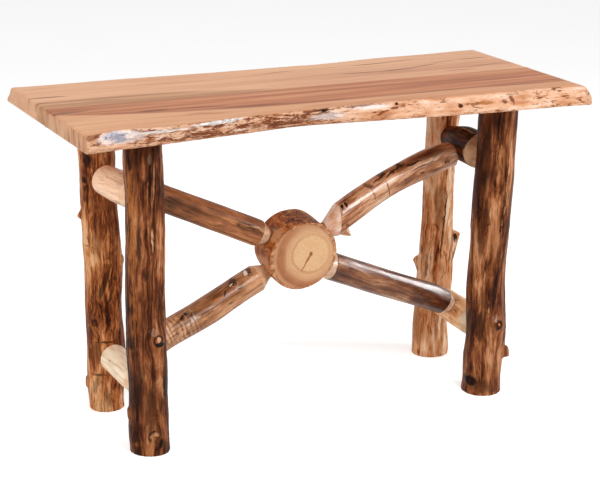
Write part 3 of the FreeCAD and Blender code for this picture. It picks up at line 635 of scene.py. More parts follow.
def bark_finish(name, shades, seed, patch, lift, marks, flakes, turned=("#d8a87f", "#f0c9a2"), coat=0.02,
                coat_roughness=0.16, length_cells=1.0, contrast=1.0, relief=0.0030, ripples=None, curl=1.0):
    """Peeled log under varnish: streaks along the grain, bark left in patches, cracks and knots.

    A row of the marks holds the middle and three half sizes in millimetres, the turn about Y in degrees, the shade
    and the strength."""
    finish = Finish(name, 0.45, coat, coat_roughness, 0.05)
    grain_place = finish.attribute("grain", "Vector")
    darkest, bark, collar_shade = shades[0][1], shades[1][1], shades[-3][1]
    shift = (seed, seed * 0.7, seed * 1.3)
    place = finish.swayed(grain_place, (11.0, 11.0, 5.5), (0.022, 0.022, 0.0), shift)
    swirled = finish.swayed(place, (42.0, 42.0, 20.0), (0.007 * curl, 0.007 * curl, 0.010 * curl), shift)
    slow = finish.cloud(place, (13.0, 13.0, 4.5 * length_cells), shift, 3.0)
    streak = finish.cloud(place, (70.0, 70.0, 4.0 * length_cells), shift, 4.0, 0.60)
    mid = finish.cloud(swirled, (44.0, 44.0, 15.0 * length_cells), shift, 5.0, 0.66, 0.8)
    fine = finish.cloud(swirled, (230.0, 230.0, 20.0 * length_cells), shift, 3.0, 0.6)
    colour = finish.shades(finish.sum(
        finish.swing(slow, patch * 2), 0.5 + lift, finish.swing(streak, 1.1 * contrast),
        finish.swing(mid, 0.9 * contrast), finish.swing(fine, 0.6 * contrast)), shades)
    # bark left on the log, with sharper borders
    flake = finish.cloud(swirled, (30.0, 30.0, 9.0 * length_cells), (seed * 2, 1.0, seed), 6.0, 0.7, 0.5)
    flake_mask = finish.span(finish.sum(flake, finish.swing(slow, -0.8)), 0.555, 0.60)
    colour = finish.blend(finish.times(flake_mask, flakes), colour, bark)
    crack = finish.cloud(place, (62.0, 62.0, 3.6 * length_cells), (seed * 3, 0, seed), 3.0, 0.55, 0.3)
    crack_line = finish.span(finish.worked("ABSOLUTE", finish.sum(crack, -0.5), 0.0), 0.011, 0.002)
    crack_patch = finish.span(finish.cloud(place, (24.0, 24.0, 6.0), (seed, 3.0, 0), 2.0), 0.50, 0.58)
    crack_mask = finish.times(crack_line, crack_patch)
    colour = finish.blend(finish.times(crack_mask, 0.8), colour, darkest)
    # knots: a dark ring round a lighter heart, inside a paler collar
    near = finish.sum(finish.attribute("knot"), finish.swing(mid, 0.55))
    collar = finish.times(finish.span(near, 0.36, 0.52), finish.span(near, 0.78, 0.68), 0.30)
    colour = finish.blend(collar, colour, collar_shade)
    ring = finish.times(
        finish.span(near, 0.64, 0.74), finish.span(near, 0.90, 0.80),
        finish.span(streak, 0.36, 0.50, 0.35, 1.0), 0.85)
    colour = finish.blend(ring, colour, darkest)
    colour = finish.dab(colour, "#9c6039", near, 0.84, 0.95, 0.65)
    # single marks with ragged borders
    mark_place = finish.swayed(finish.object_place(), (70.0, 70.0, 50.0), (0.008, 0.008, 0.010), shift)
    mottled = finish.swing(mid, 1.9)
    uneven = finish.times(finish.sum(streak, fine, -1.0), 1.1)
    for mark in marks:
        turn, shade, strength = mark[6:]
        whole = strength >= 0.9
        oval = finish.oval(mark_place, in_metres(mark[:3]), in_metres(mark[3:6]), turn)
        filled = finish.worked("MINIMUM", finish.times(oval, 1.6), 1.0 if whole else 0.46)
        ragged = finish.span(finish.sum(filled, mottled, uneven), 0.20, 0.56)
        fade = finish.span(oval, 0.0, 0.28 if whole else 0.55, 0, strength)
        colour = finish.blend(finish.times(ragged, fade), colour, shade)
    # small dark flecks over everything
    fleck = finish.span(finish.sum(finish.times(fine, 0.6), finish.times(streak, 0.4)), 0.41, 0.52, 0.68, 1.09)
    grey = finish.node("ShaderNodeCombineColor", {0: fleck, 1: fleck, 2: fleck}).outputs[0]
    colour = finish.blend(0.75, colour, grey, "MULTIPLY")
    if ripples:
        start, end, pitch = ripples
        parts = finish.parts(finish.swayed(grain_place, (26.0, 26.0, 34.0), (0.010, 0.010, 0.030), shift))
        lean = finish.sum(parts["Z"], finish.times(parts["Y"], -0.10))
        wave = finish.worked("SINE", finish.times(lean, 2 * math.pi / pitch), 0.0)
        zone = finish.times(
            finish.span(lean, start, start + 0.02), finish.span(lean, end, end - 0.02),
            finish.span(mid, 0.43, 0.54, 0.12, 1.0))
        colour = finish.blend(finish.times(finish.span(wave, 0.40, 0.95), zone, 0.65), colour, darkest)
        # painted highlight: a pale line between each pair of dark ripple lines
        colour = finish.blend(finish.times(finish.span(wave, -0.45, -0.95), zone, 0.20), colour, "#f1dccd")
    end = finish.attribute("turned")
    end_tone = finish.cloud(grain_place, (60.0, 60.0, 26.0), shift, 4.0)
    ragged_end = finish.span(finish.sum(end, finish.swing(mid, 0.5)), 0.35, 0.65)
    colour = finish.blend(ragged_end, colour, finish.shades(end_tone, ((0.36, turned[0]), (0.60, turned[1]))))
    height = finish.sum(
        finish.times(streak, 0.7), finish.times(fine, 0.3), finish.times(mid, 0.5), finish.times(crack_mask, -0.5))
    height = finish.times(height, finish.span(end, 0.2, 0.8, 1.0, 0.15))
    return finish.done(colour, finish.relief(height, relief, 0.7))


dark_shades = (
    (0.14, "#1c0b05"), (0.30, "#3a1b0c"), (0.44, "#5f3119"), (0.55, "#7c4627"), (0.68, "#9c613c"), (0.86, "#c08962"))
red_shades = (
    (0.14, "#2a1107"), (0.30, "#5e2e16"), (0.43, "#8b4b26"), (0.55, "#aa653a"), (0.68, "#c98652"), (0.86, "#e2ad7d"))
golden_shades = (
    (0.12, "#4e230e"), (0.27, "#964f28"), (0.41, "#c97c4a"), (0.54, "#e39d69"), (0.68, "#f2b98c"), (0.86, "#fad8b6"))

leg_finishes = {
    "leg_front_left": bark_finish(
        "front_left_leg_wood", dark_shades, 3.0, 0.65, -0.015, flakes=0.35, contrast=0.95, marks=(
        (-449, -188, 640, 4.5, 30, 55, 1, "#0c0504", 0.95),
        (-449, -189, 585, 4, 30, 50, 0, "#1e0e07", 0.85),
        # painted highlight: the grey mark at the top of the dark crack
        (-449, -188, 678, 5, 30, 16, 0, "#8d7a6c", 0.35),
        (-439, -189, 620, 3, 30, 60, 0, "#b98a63", 0.7),
        (-459, -188, 425, 9, 30, 20, 0, "#241008", 0.85),
        (-472, -180, 492, 7, 30, 60, 0, "#2a140a", 0.8),
        (-486, -165, 540, 10, 30, 170, 0, "#a3622f", 0.65),
        (-482, -170, 330, 10, 30, 120, 0, "#9a5a2e", 0.55),
        (-445, -191, 500, 3.5, 30, 35, 0, "#c9a27c", 0.8),
        (-440, -191, 455, 3, 30, 30, 0, "#c39a73", 0.7),
        # painted highlight: the pale greyish patch on the upper left of the knot's raised collar
        (-443, -190, 292, 16, 30, 12, 20, "#a98267", 0.5),
        (-433, -192, 274, 5.5, 30, 6.5, 0, "#dba07c", 0.9),
        (-412, -180, 300, 10, 30, 40, -14, "#8e6043", 0.6),
        (-430, -190, 262, 15, 30, 8, 8, "#120805", 1.0),
        (-405, -175, 235, 8, 30, 40, 0, "#1a0c06", 0.8),
        (-486, -159, 262, 10, 30, 18, 0, "#150804", 0.85),
        (-425, -186, 160, 4.5, 30, 50, -6, "#b98257", 0.8),
        (-450, -185, 115, 18, 30, 70, 4, "#321a0e", 0.7),
        (-472, -180, 160, 12, 30, 90, 0, "#2a150b", 0.6),
        (-449, -189, 20, 7, 30, 30, 0, "#b97c4b", 0.75),
        (-441, -189, 52, 9, 30, 7, 30, "#cf9a6c", 0.7),
        (-430, -191, 30, 9, 30, 16, 10, "#130804", 0.9),
        (-478, -176, 28, 9, 30, 10, 0, "#8c4b22", 0.75),
        (-458, -186, 10, 9, 30, 16, 0, "#a56b40", 0.7))),
    "leg_back_left": bark_finish(
        "back_left_leg_wood", red_shades, 11.0, 0.55, 0.03, flakes=0.55, contrast=1.1, curl=2.4, marks=(
        (-486, 100, 612, 10, 40, 22, 0, "#1c0b06", 0.9),
        (-490, 105, 566, 4, 40, 14, -10, "#2a1209", 0.9),
        (-494, 112, 545, 7, 40, 30, 0, "#d9955c", 0.75),
        (-484, 100, 530, 5, 40, 30, 0, "#b9743f", 0.6),
        (-448, 85, 505, 28, 40, 22, 10, "#3d1d0e", 0.7),
        (-445, 85, 460, 18, 40, 9, -12, "#2e150a", 0.7),
        (-470, 90, 430, 14, 40, 60, 0, "#6b3f25", 0.5),
        (-483, 100, 408, 16, 40, 2.2, 12, "#2b2520", 0.8),
        (-449, 84, 373, 12, 40, 8, 12, "#cf8750", 0.65),
        (-428, 88, 330, 10, 40, 80, 8, "#bb6b34", 0.75),
        (-444, 85, 330, 4, 40, 50, 14, "#d78c50", 0.75),
        (-456, 87, 318, 10, 40, 50, 18, "#1f0e06", 0.8),
        (-440, 85, 290, 5, 40, 60, 20, "#2b130a", 0.75),
        (-424, 90, 230, 10, 40, 60, 0, "#c67a3e", 0.7),
        (-474, 100, 232, 18, 40, 14, 0, "#4d2413", 0.7),
        (-480, 108, 214, 10, 40, 8, 0, "#d0813f", 0.6),
        (-455, 86, 176, 36, 40, 3.5, -4, "#1d0d06", 0.85),
        (-474, 100, 150, 12, 40, 40, 0, "#34160a", 0.6),
        (-470, 95, 95, 34, 40, 4, -2, "#1d0d06", 0.8),
        (-476, 98, 70, 8, 40, 34, 12, "#3a1a0c", 0.5),
        (-452, 86, 40, 8, 40, 36, -14, "#34170b", 0.5),
        (-430, 86, 40, 12, 40, 30, 0, "#b0652f", 0.55))),
    "leg_front_right": bark_finish(
        "front_right_leg_wood", dark_shades, 19.0, 0.65, 0.0, flakes=0.35, contrast=0.95, marks=(
        (400, -165, 600, 10, 40, 130, 2, "#1f0e06", 0.85),
        (422, -190, 610, 8, 40, 110, 3, "#b1784c", 0.75),
        (445, -195, 600, 7, 40, 90, 5, "#7d4a29", 0.6),
        (447, -195, 560, 2.5, 40, 110, 5, "#cf9f76", 0.8),
        (436, -195, 440, 3.5, 40, 100, 8, "#d29d70", 0.85),
        (424, -193, 400, 14, 40, 70, 6, "#8a5330", 0.55),
        (462, -188, 480, 11, 40, 130, 6, "#3b1d0f", 0.8),
        (448, -190, 350, 8, 40, 60, 12, "#2a140a", 0.75),
        (398, -175, 420, 9, 40, 90, 3, "#241108", 0.8),
        (401, -180, 312, 6, 40, 40, 8, "#c08a66", 0.8),
        (398, -178, 283, 6, 40, 9, 0, "#c38560", 0.8),
        (404, -182, 245, 9, 40, 34, -8, "#160903", 0.85),
        (413, -186, 230, 3, 40, 40, -6, "#b98a63", 0.8),
        (400, -180, 180, 12, 40, 50, 0, "#241108", 0.7),
        # painted highlight: the two pale greyish marks on the upper left of the knot's collar
        (430, -190, 200, 8, 40, 14, 30, "#a88a78", 0.6),
        (434, -192, 198, 13, 30, 11, 30, "#b99c8a", 0.55),
        (440, -200, 184, 5, 20, 6, 0, "#d07a42", 0.9),
        (455, -188, 180, 6, 30, 10, 0, "#2a130a", 0.8),
        (417, -189, 120, 3, 40, 50, 4, "#b07a50", 0.75),
        (450, -189, 110, 4, 40, 40, 6, "#c08b61", 0.7),
        (389, -163, 36, 12, 40, 14, 0, "#0a0403", 0.9),
        (395, -170, 52, 16, 40, 4, 0, "#8a5a3a", 0.7),
        (408, -184, 22, 26, 40, 26, 14, "#24100a", 0.75),
        (436, -190, 16, 20, 40, 16, -8, "#2c150b", 0.7),
        (472, -180, 30, 14, 40, 50, 0, "#5e3218", 0.5))),
    "leg_back_right": bark_finish(
        "back_right_leg_wood", golden_shades, 27.0, 0.45, 0.15, flakes=0.25, contrast=1.2, marks=(
        (452, 86, 395, 2.6, 40, 60, 3, "#1d0f08", 0.95),
        (446, 86, 325, 2.6, 40, 80, 4, "#1d0f08", 0.95),
        (414, 105, 240, 2.4, 40, 50, 1, "#3b1d0e", 0.75),
        (409, 110, 285, 3, 40, 20, 0, "#3b1d0e", 0.75),
        (444, 89, 560, 10, 40, 70, 2, "#8b5932", 0.7),
        (436, 90, 420, 16, 40, 50, 0, "#8f5c38", 0.65),
        (436, 90, 375, 12, 40, 30, 0, "#84502c", 0.6),
        (423, 100, 400, 4, 40, 160, 0, "#e8b183", 0.6),
        (467, 88, 250, 6, 40, 30, 12, "#3b1c0d", 0.8),
        (478, 92, 300, 6, 40, 60, 14, "#a3511f", 0.7),
        (486, 97, 270, 4, 40, 40, 14, "#42200f", 0.75),
        (470, 88, 200, 10, 40, 30, 8, "#b7703c", 0.6),
        (425, 95, 190, 6, 40, 70, 0, "#f0c79a", 0.6),
        (440, 87, 90, 6, 40, 60, 2, "#71401f", 0.7),
        (458, 87, 75, 10, 40, 50, 0, "#5d3118", 0.7),
        (476, 92, 60, 5, 40, 40, 0, "#8d5125", 0.6),
        (418, 96, 60, 10, 40, 40, 0, "#dba374", 0.6),
        (402, 120, 100, 6, 40, 90, 0, "#8c4a24", 0.6),
        (489, 90, 314, 6.5, 30, 15, 0, "#1d1210", 0.95),
        # painted highlight: the grey mark inside the dark one on the stub
        (490, 88, 305, 3.5, 30, 7, 0, "#9a959c", 0.9))),
}
rail_pale = (
    (0.16, "#eda36c"), (0.32, "#fcc18c"), (0.46, "#ffd5a8"), (0.60, "#ffe2be"), (0.80, "#fff1de"))
rail_peach = (
    (0.14, "#8a5635"), (0.30, "#d29a72"), (0.45, "#f2bb94"), (0.60, "#f9cda8"), (0.80, "#fde3cc"))
rail_dark = (
    (0.20, "#0d0401"), (0.38, "#2a0f03"), (0.50, "#4d2008"), (0.62, "#77421b"), (0.76, "#9d6539"), (0.90, "#c08d5c"))
rail_orange = (
    (0.12, "#b06c3c"), (0.28, "#e0945a"), (0.42, "#fcb67e"), (0.57, "#ffca94"), (0.80, "#ffdfb8"))
rail_finishes = {
    "end_rail_upper_left": bark_finish(
        "upper_left_rail_wood", rail_peach, 33.0, 0.22, 0.08, flakes=0.0, length_cells=0.5,
        coat=0.35, contrast=0.42, relief=0.0015, turned=("#f0bf96", "#fad5b1"), marks=(
            (-458, -50, 618, 24, 140, 9, 0, "#85502f", 0.7),
            (-468, 85, 606, 12, 30, 10, 0, "#5b2f19", 0.7))),
    "end_rail_lower_left": bark_finish(
        "lower_left_rail_wood", rail_pale, 39.0, 0.18, 0.10, flakes=0.0, length_cells=0.5,
        coat=0.3, contrast=0.42, relief=0.0015, turned=("#f0bd92", "#fbdcb8"), marks=(
            (-471, 20, 156, 4, 5, 4, 0, "#a4683e", 0.9),
            (-462, 60, 176, 20, 50, 8, 0, "#eeae80", 0.6))),
    "end_rail_upper_right": bark_finish(
        "upper_right_rail_wood", rail_dark, 45.0, 0.35, -0.02, flakes=0.2, length_cells=0.6,
        coat=0.03, contrast=0.8, relief=0.0020, turned=("#ae7f5b", "#d6ad88"), marks=(
            (434, -10, 624, 12, 60, 4, 0, "#c79a70", 0.7),
            (420, -20, 618, 22, 50, 8, 0, "#8a5c38", 0.6),
            (395, -80, 592, 20, 26, 50, 0, "#c0906c", 0.8),
            (406, -37, 566, 10, 10, 7, 0, "#8a5024", 0.8))),
    "end_rail_lower_right": bark_finish(
        "lower_right_rail_wood", rail_orange, 51.0, 0.25, 0.06, flakes=0.15, length_cells=0.5,
        coat=0.25, contrast=0.8, relief=0.0020, turned=("#e5b88e", "#f8dab8"), marks=(
            (402, -45, 160, 30, 30, 34, 0, "#c4743a", 0.8),
            (412, -45, 170, 6, 20, 10, 0, "#7d421f", 0.7),
            (420, -100, 150, 50, 14, 50, 0, "#f3d4b0", 0.6))),
}
brace_finishes = {
    "brace_upper_left": bark_finish("upper_left_brace_wood", (
        (0.14, "#2f170b"), (0.30, "#5c3820"), (0.44, "#865231"), (0.57, "#a06340"), (0.72, "#bd7d50"),
        (0.88, "#d8a070")),
        57.0, 0.75, 0.02, flakes=0.15, length_cells=1.2, turned=("#c59670", "#f0d3b4"), coat=0.15, contrast=0.5,
        coat_roughness=0.28, relief=0.0015, marks=(
        (-180, -40, 468, 60, 30, 7, 25, "#c98a55", 0.6),
        (-120, -40, 446, 50, 30, 5, 25, "#d29a68", 0.55),
        (-300, -40, 515, 70, 30, 6, 25, "#5a321e", 0.5),
        (-222, -40, 466, 22, 30, 6, 10, "#5a321e", 0.5),
        (-370, -40, 556, 30, 30, 8, 25, "#b57a4c", 0.5))),
    "brace_lower_left": bark_finish("lower_left_brace_wood", (
        (0.14, "#45220f"), (0.30, "#844f2d"), (0.44, "#a9724a"), (0.57, "#c89066"), (0.72, "#deab82"),
        (0.88, "#efc9a6")),
        63.0, 0.65, 0.03, flakes=0.2, length_cells=1.2, turned=("#d3a27a", "#e9bf98"), coat=0.35, contrast=0.42,
        coat_roughness=0.26, relief=0.0015, ripples=(0.270, 0.440, 0.0115), marks=(
        (-308, -31, 256, 2.5, 30, 22, 58, "#1e0e07", 0.95),
        (-292, -36, 258, 2.2, 30, 18, 58, "#1e0e07", 0.9),
        (-273, -28, 278, 28, 30, 7, -30, "#5a321d", 0.6),
        # painted highlight: the two near-white streaks on the front of the brace
        (-290, -36, 247, 34, 30, 7, -30, "#efd9c8", 0.55),
        (-245, -34, 268, 30, 30, 8, -30, "#dcbca4", 0.5),
        (-226, -35, 291, 26, 30, 10, -30, "#c07a4a", 0.6),
        (-262, -36, 240, 12, 30, 5, -30, "#6b432a", 0.6),
        # the near-white mark beside each of the two dark eyes is a painted highlight
        (-181, -22, 321, 15, 30, 5.5, -30, "#4a2412", 0.9),
        (-187, -24, 316, 8, 30, 1.6, -30, "#f3e3d6", 0.95),
        (-144, -14, 341, 14, 30, 5, -30, "#5a301c", 0.9),
        (-149, -16, 336, 8, 30, 1.6, -30, "#f3e3d6", 0.95),
        (-206, -37, 300, 9, 30, 2.4, -58, "#1a0b05", 0.9),
        (-171, -39, 311, 9, 30, 2.4, -38, "#1a0b05", 0.9),
        (-196, -36, 308, 30, 30, 1.8, -30, "#4b2a18", 0.7),
        (-130, -36, 322, 40, 30, 16, -30, "#dfa47a", 0.55),
        (-110, -36, 310, 30, 30, 10, -30, "#c99a7a", 0.5))),
    "brace_upper_right": bark_finish("upper_right_brace_wood", (
        (0.12, "#3b1a0b"), (0.28, "#79452a"), (0.42, "#a66a44"), (0.55, "#c98d66"), (0.72, "#dfb08c"),
        (0.88, "#f3d4b8")),
        69.0, 0.65, 0.08, flakes=0.2, length_cells=1.2, turned=("#e2a67c", "#fdeadb"), coat=0.5, contrast=0.75,
        coat_roughness=0.24, relief=0.0012, marks=(
        (96, -28, 472, 4.5, 30, 6, 0, "#140804", 1.0),
        (106, -28, 476, 4.5, 30, 7, 0, "#140804", 1.0),
        (101, -28, 466, 12, 30, 3, 0, "#42200f", 0.8),
        (200, -23, 531, 30, 40, 2.4, -32, "#3b1a0b", 0.92),
        (227, -27, 540, 26, 40, 2.2, -30, "#3b1a0b", 0.92),
        (252, -24, 552, 22, 40, 2.6, -24, "#341709", 0.92),
        (282, -30, 558, 32, 40, 2.2, -16, "#341709", 0.92),
        (170, -26, 512, 16, 40, 6, 10, "#3b1a0c", 0.8),
        (303, -43, 537, 8, 30, 3.5, -18, "#3a1a0c", 0.92),
        (330, -25, 575, 70, 40, 9, -12, "#5a2d15", 0.7),
        (305, -38, 553, 50, 40, 2.5, -18, "#3b1a0c", 0.85),
        (371, -42, 559, 12, 30, 9, 0, "#8d532e", 0.8),
        (366, -44, 556, 3.5, 30, 3.5, 0, "#1e0c05", 0.95),
        (290, -34, 520, 10, 30, 4, -20, "#2c1308", 0.85),
        (128, -20, 420, 14, 30, 6, -50, "#2c1308", 0.85),
        (104, -34, 430, 10, 30, 6, 30, "#6b3819", 0.8),
        (142, -40, 476, 1.8, 30, 26, -14, "#9a6140", 0.85),
        # the near-white line beside each of the two dark folds is a painted highlight on its rim
        (175, -37, 497, 2.4, 30, 26, -14, "#85502f", 0.92),
        (168, -38, 494, 1.8, 30, 18, -14, "#f5dcc8", 0.6),
        (214, -40, 504, 2.4, 30, 26, -14, "#85502f", 0.92),
        (207, -40, 501, 1.8, 30, 18, -14, "#f5dcc8", 0.6),
        (128, -36, 452, 20, 30, 2, 50, "#a0643f", 0.7),
        (200, -36, 470, 14, 30, 4, -26, "#42200f", 0.6))),
    "brace_lower_right": bark_finish("lower_right_brace_wood", (
        (0.14, "#1f0d05"), (0.30, "#3a1a09"), (0.44, "#5a2e15"), (0.57, "#79462a"), (0.72, "#9d6843"),
        (0.88, "#c79472")),
        75.0, 0.85, 0.0, flakes=0.2, length_cells=1.2, turned=("#d0a684", "#f3dac0"), coat=0.55, contrast=0.6,
        coat_roughness=0.26, relief=0.0012, marks=(
        (200, -8, 310, 190, 30, 10, 22, "#b5754a", 0.75),
        (180, -40, 272, 50, 30, 10, 22, "#8d6045", 0.5),
        (370, -40, 180, 30, 30, 8, 22, "#3b1f12", 0.6))),
}


def hub_finish():
    """Sawn log slice: growth rings and checks on its faces, dark mottled skin round it."""
    finish = Finish("hub_wood", 0.5, 0.03, 0.22, 0.05)
    at = finish.object_place()
    pith_x, pith_z = -0.003, 0.380
    tall = 1.08
    ring_pitch = 0.0062
    centred = finish.stretched(at, (1.0, 0.0, tall), (-pith_x, 0.0, -pith_z * tall))
    warped = finish.swayed(centred, (11.0, 0.0, 11.0), (0.020, 0.0, 0.020), (4.0, 0, 2.0))
    warped = finish.swayed(warped, (60.0, 0.0, 60.0), (0.003, 0.0, 0.003))
    distance = finish.node("ShaderNodeVectorMath", {0: warped}, operation="LENGTH").outputs["Value"]
    ring = finish.worked("SINE", finish.times(distance, 2 * math.pi / ring_pitch), 0.0)
    faint = finish.cloud(centred, (22.0, 1.0, 22.0), (0, 0, 3.0), 3.0)
    # the stops of both ramps are tenths of a metre from the pith
    broad = finish.shades(finish.times(distance, 10.0), (
        (0.05, "#e2b78a"), (0.42, "#e2b98d"), (0.47, "#c8966c"), (0.52, "#dbae84"), (0.64, "#cf9f79"),
        (0.72, "#b67c5a"), (0.84, "#9c6142"), (0.93, "#c89672")))
    light = finish.shades(finish.times(distance, 10.0), (
        (0.05, "#e2b78a"), (0.44, "#e3ba8e"), (0.49, "#d3a47a"), (0.56, "#d9ac84"), (0.70, "#c99a76"),
        (0.88, "#b98464")))
    parts = finish.parts(warped)
    side = finish.sum(finish.times(parts["X"], -1.0), finish.times(parts["Z"], -0.6))
    face = finish.blend(finish.span(side, -0.045, 0.030), light, broad)
    ring_strength = finish.span(distance, 0.02, 0.085, 0.05, 0.34)
    face = finish.blend(finish.times(finish.span(ring, 0.0, 1.0), ring_strength), face, "#a0683f")
    face = finish.dab(face, "#c99465", faint, 0.45, 0.75, 0.35)
    saw_marks = finish.cloud(at, (150.0, 1.0, 260.0), (2.0, 0, 1.0), 4.0, 0.7)
    face = finish.dab(face, "#b98257", saw_marks, 0.42, 0.68, 0.30)
    face_place = finish.swayed(at, (70.0, 0.0, 70.0), (0.004, 0.0, 0.004))
    for x, z, length, width, turn, shade, strength in (
            (-3, 380, 6, 7, 0, "#8a4a2c", 0.9), (-10, 369, 18, 4, -58, "#a0603a", 0.9),
            (-21, 351, 20, 2.4, -58, "#9a6440", 0.85), (55, 355, 12, 1.6, -40, "#8a5c3c", 0.7),
            (-75, 372, 10, 40, 0, "#a5693f", 0.4)):
        mark = finish.oval(face_place, in_metres((x, -9.5, z)), in_metres((length, 1000, width)), turn)
        face = finish.dab(face, shade, mark, 0.0, 0.5, strength)
    mottle = finish.cloud(at, (55.0, 26.0, 55.0), (2.0, 2.0, 2.0), 5.0, 0.65, 0.8)
    pits = finish.cloud(at, (150.0, 90.0, 150.0), (5.0, 2.0, 2.0), 4.0, 0.7, 1.0)
    skin = finish.shades(mottle, (
        (0.28, "#4a1f08"), (0.40, "#8a4315"), (0.50, "#bb6a2c"), (0.60, "#d78c48"), (0.76, "#e6b078")))
    upper_right = finish.oval(at, (0.0, -0.020, 0.455), (0.075, 0.09, 0.035))
    pitted = finish.sum(pits, finish.span(upper_right, 0.0, 0.6, -0.06, 0.06))
    skin = finish.dab(skin, "#71330c", upper_right, 0.1, 0.8, 0.45)
    skin = finish.dab(skin, "#260f06", pitted, 0.55, 0.62, 0.95)
    skin_place = finish.swayed(at, (60.0, 60.0, 60.0), (0.010, 0.0, 0.010))
    uneven = finish.swing(mottle, 0.8)
    for place, radii, shade, strength in (
            ((-78, -30, 425), (32, 50, 22), "#d9a274", 0.85), ((-105, -30, 352), (14, 50, 34), "#dfa073", 0.8),
            ((-80, -30, 385), (14, 50, 16), "#2e140a", 0.85)):
        facet = finish.sum(finish.oval(skin_place, in_metres(place), in_metres(radii)), uneven)
        skin = finish.dab(skin, shade, facet, 0.05, 0.5, strength)
    # rough rim between the face and the skin
    rim_place = finish.swayed(at, (50.0, 20.0, 50.0), (0.01, 0.0, 0.01))
    rim_cloud = finish.cloud(rim_place, (90.0, 60.0, 90.0), (1, 1, 1))
    across = finish.parts(finish.attribute("grain", "Vector"))
    from_middle = finish.worked("POWER", finish.sum(
        finish.worked("POWER", across["X"], 2.0), finish.worked("POWER", across["Y"], 2.0)), 0.5)
    rim = finish.span(finish.sum(from_middle, finish.swing(rim_cloud, 0.016)), 0.0745, 0.0775)
    rim_colour = finish.shades(rim_cloud, (
        (0.36, "#7a4526"), (0.48, "#a56a44"), (0.58, "#c99068"), (0.70, "#e0b18a")))
    face = finish.blend(finish.times(rim, 0.75), face, rim_colour)
    sawn = finish.span(finish.attribute("turned"), 0.45, 0.6)
    height = finish.sum(finish.times(mottle, 0.5), finish.times(pits, -0.4))
    quiet = finish.span(sawn, 0.0, 1.0, 1.0, 0.06)
    rough_rim = finish.times(finish.times(rim_cloud, rim), finish.times(sawn, 0.5))
    normal = finish.relief(finish.sum(finish.times(height, quiet), rough_rim), 0.004, 0.8)
    return finish.done(finish.blend(sawn, skin, face), normal)


def plain_wood_finish(name, light, dark, scale):
    """Cut end or turned pin of plain wood with short grain."""
    finish = Finish(name, 0.5, 0.15, 0.25)
    place = finish.object_place()
    grain = finish.cloud(place, scale, (0, 0, 0), 4.0, 0.6)
    pore = finish.cloud(place, tuple(4 * part for part in scale), (1, 2, 3), 3.0, 0.6)
    tone = finish.sum(finish.times(grain, 0.7), finish.times(pore, 0.3))
    colour = finish.shades(tone, ((0.36, dark), (0.62, light)))
    return finish.done(colour, finish.relief(pore, 0.0003, 0.5))


def screw_finish():
    finish = Finish("zinc_screw", 0.38)
    finish.shader.inputs["Metallic"].default_value = 1.0
    spangle = finish.cloud(finish.object_place(), (400.0, 400.0, 400.0), (0, 0, 0), 2.0)
    colour = finish.shades(spangle, ((0.35, "#9d9788"), (0.65, "#c9c2ae")))
    return finish.done(colour, finish.relief(spangle, 0.0001, 0.4), finish.span(spangle, 0.3, 0.7, 0.3, 0.45))


# Boards

def board_piece(node, side, finish):
    """Sawn board: flat faces, eased ends, and a live edge with ridges, hollows and chips."""
    piece = copy_of_node(node, node + "_plank")
    remeshed(piece, board_voxel)
    # the corners at the glue line, which the even skin rounds, go back to their place
    places = point_rows(piece, "co")
    reach = 0.55 * board_voxel
    near_glue = np.abs(places[:, 1] - glue_line) < reach
    places[near_glue, 1] = glue_line
    for level in (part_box(node)[0].z, top_height):
        near_face = near_glue & (np.abs(places[:, 2] - level) < reach)
        places[near_face, 2] = level
    piece.data.vertices.foreach_set("co", np.asarray(places, np.float32).ravel())
    piece.data.update()
    eased = mask_group(piece, "eased", smooth_step(0.004, 0.010, np.abs(places[:, 1] - glue_line)))
    ease = piece.modifiers.new("eased_edges", "SMOOTH")
    ease.factor = 0.5
    ease.iterations = 4
    ease.vertex_group = eased
    finish_modifier(piece, ease)
    places = point_rows(piece, "co")
    normals = point_rows(piece, "normal")
    outward = normals[:, 1] * side
    off_glue = np.abs(places[:, 1] - glue_line) > 0.1
    inside_ends = smooth_step(0.001, 0.012, end_place - np.abs(places[:, 0]))
    chips = mask_group(piece, "chip_mask", smooth_step(0.20, 0.55, outward) * off_glue * inside_ends)
    swell(piece, node + "_waves", 0.045, 0.006, chips, middle=1.0, place=(0.2, 0, 0), stretch=(2.4, 1, 0.8))
    swell(piece, node + "_chips", 0.012, 0.0030, chips, middle=0.9, stretch=(2.2, 1, 1))
    store(piece, "live_edge", smooth_step(0.10, 0.42, outward) * off_glue * (np.abs(normals[:, 0]) < 0.6))
    store(piece, "sawn_end", smooth_step(0.70, 0.85, np.abs(normals[:, 0])))
    smooth_shaded(piece)
    settle(piece, node, finish)


board_piece("top_board_front", -1, front_board_finish())
board_piece("top_board_back", 1, back_board_finish())

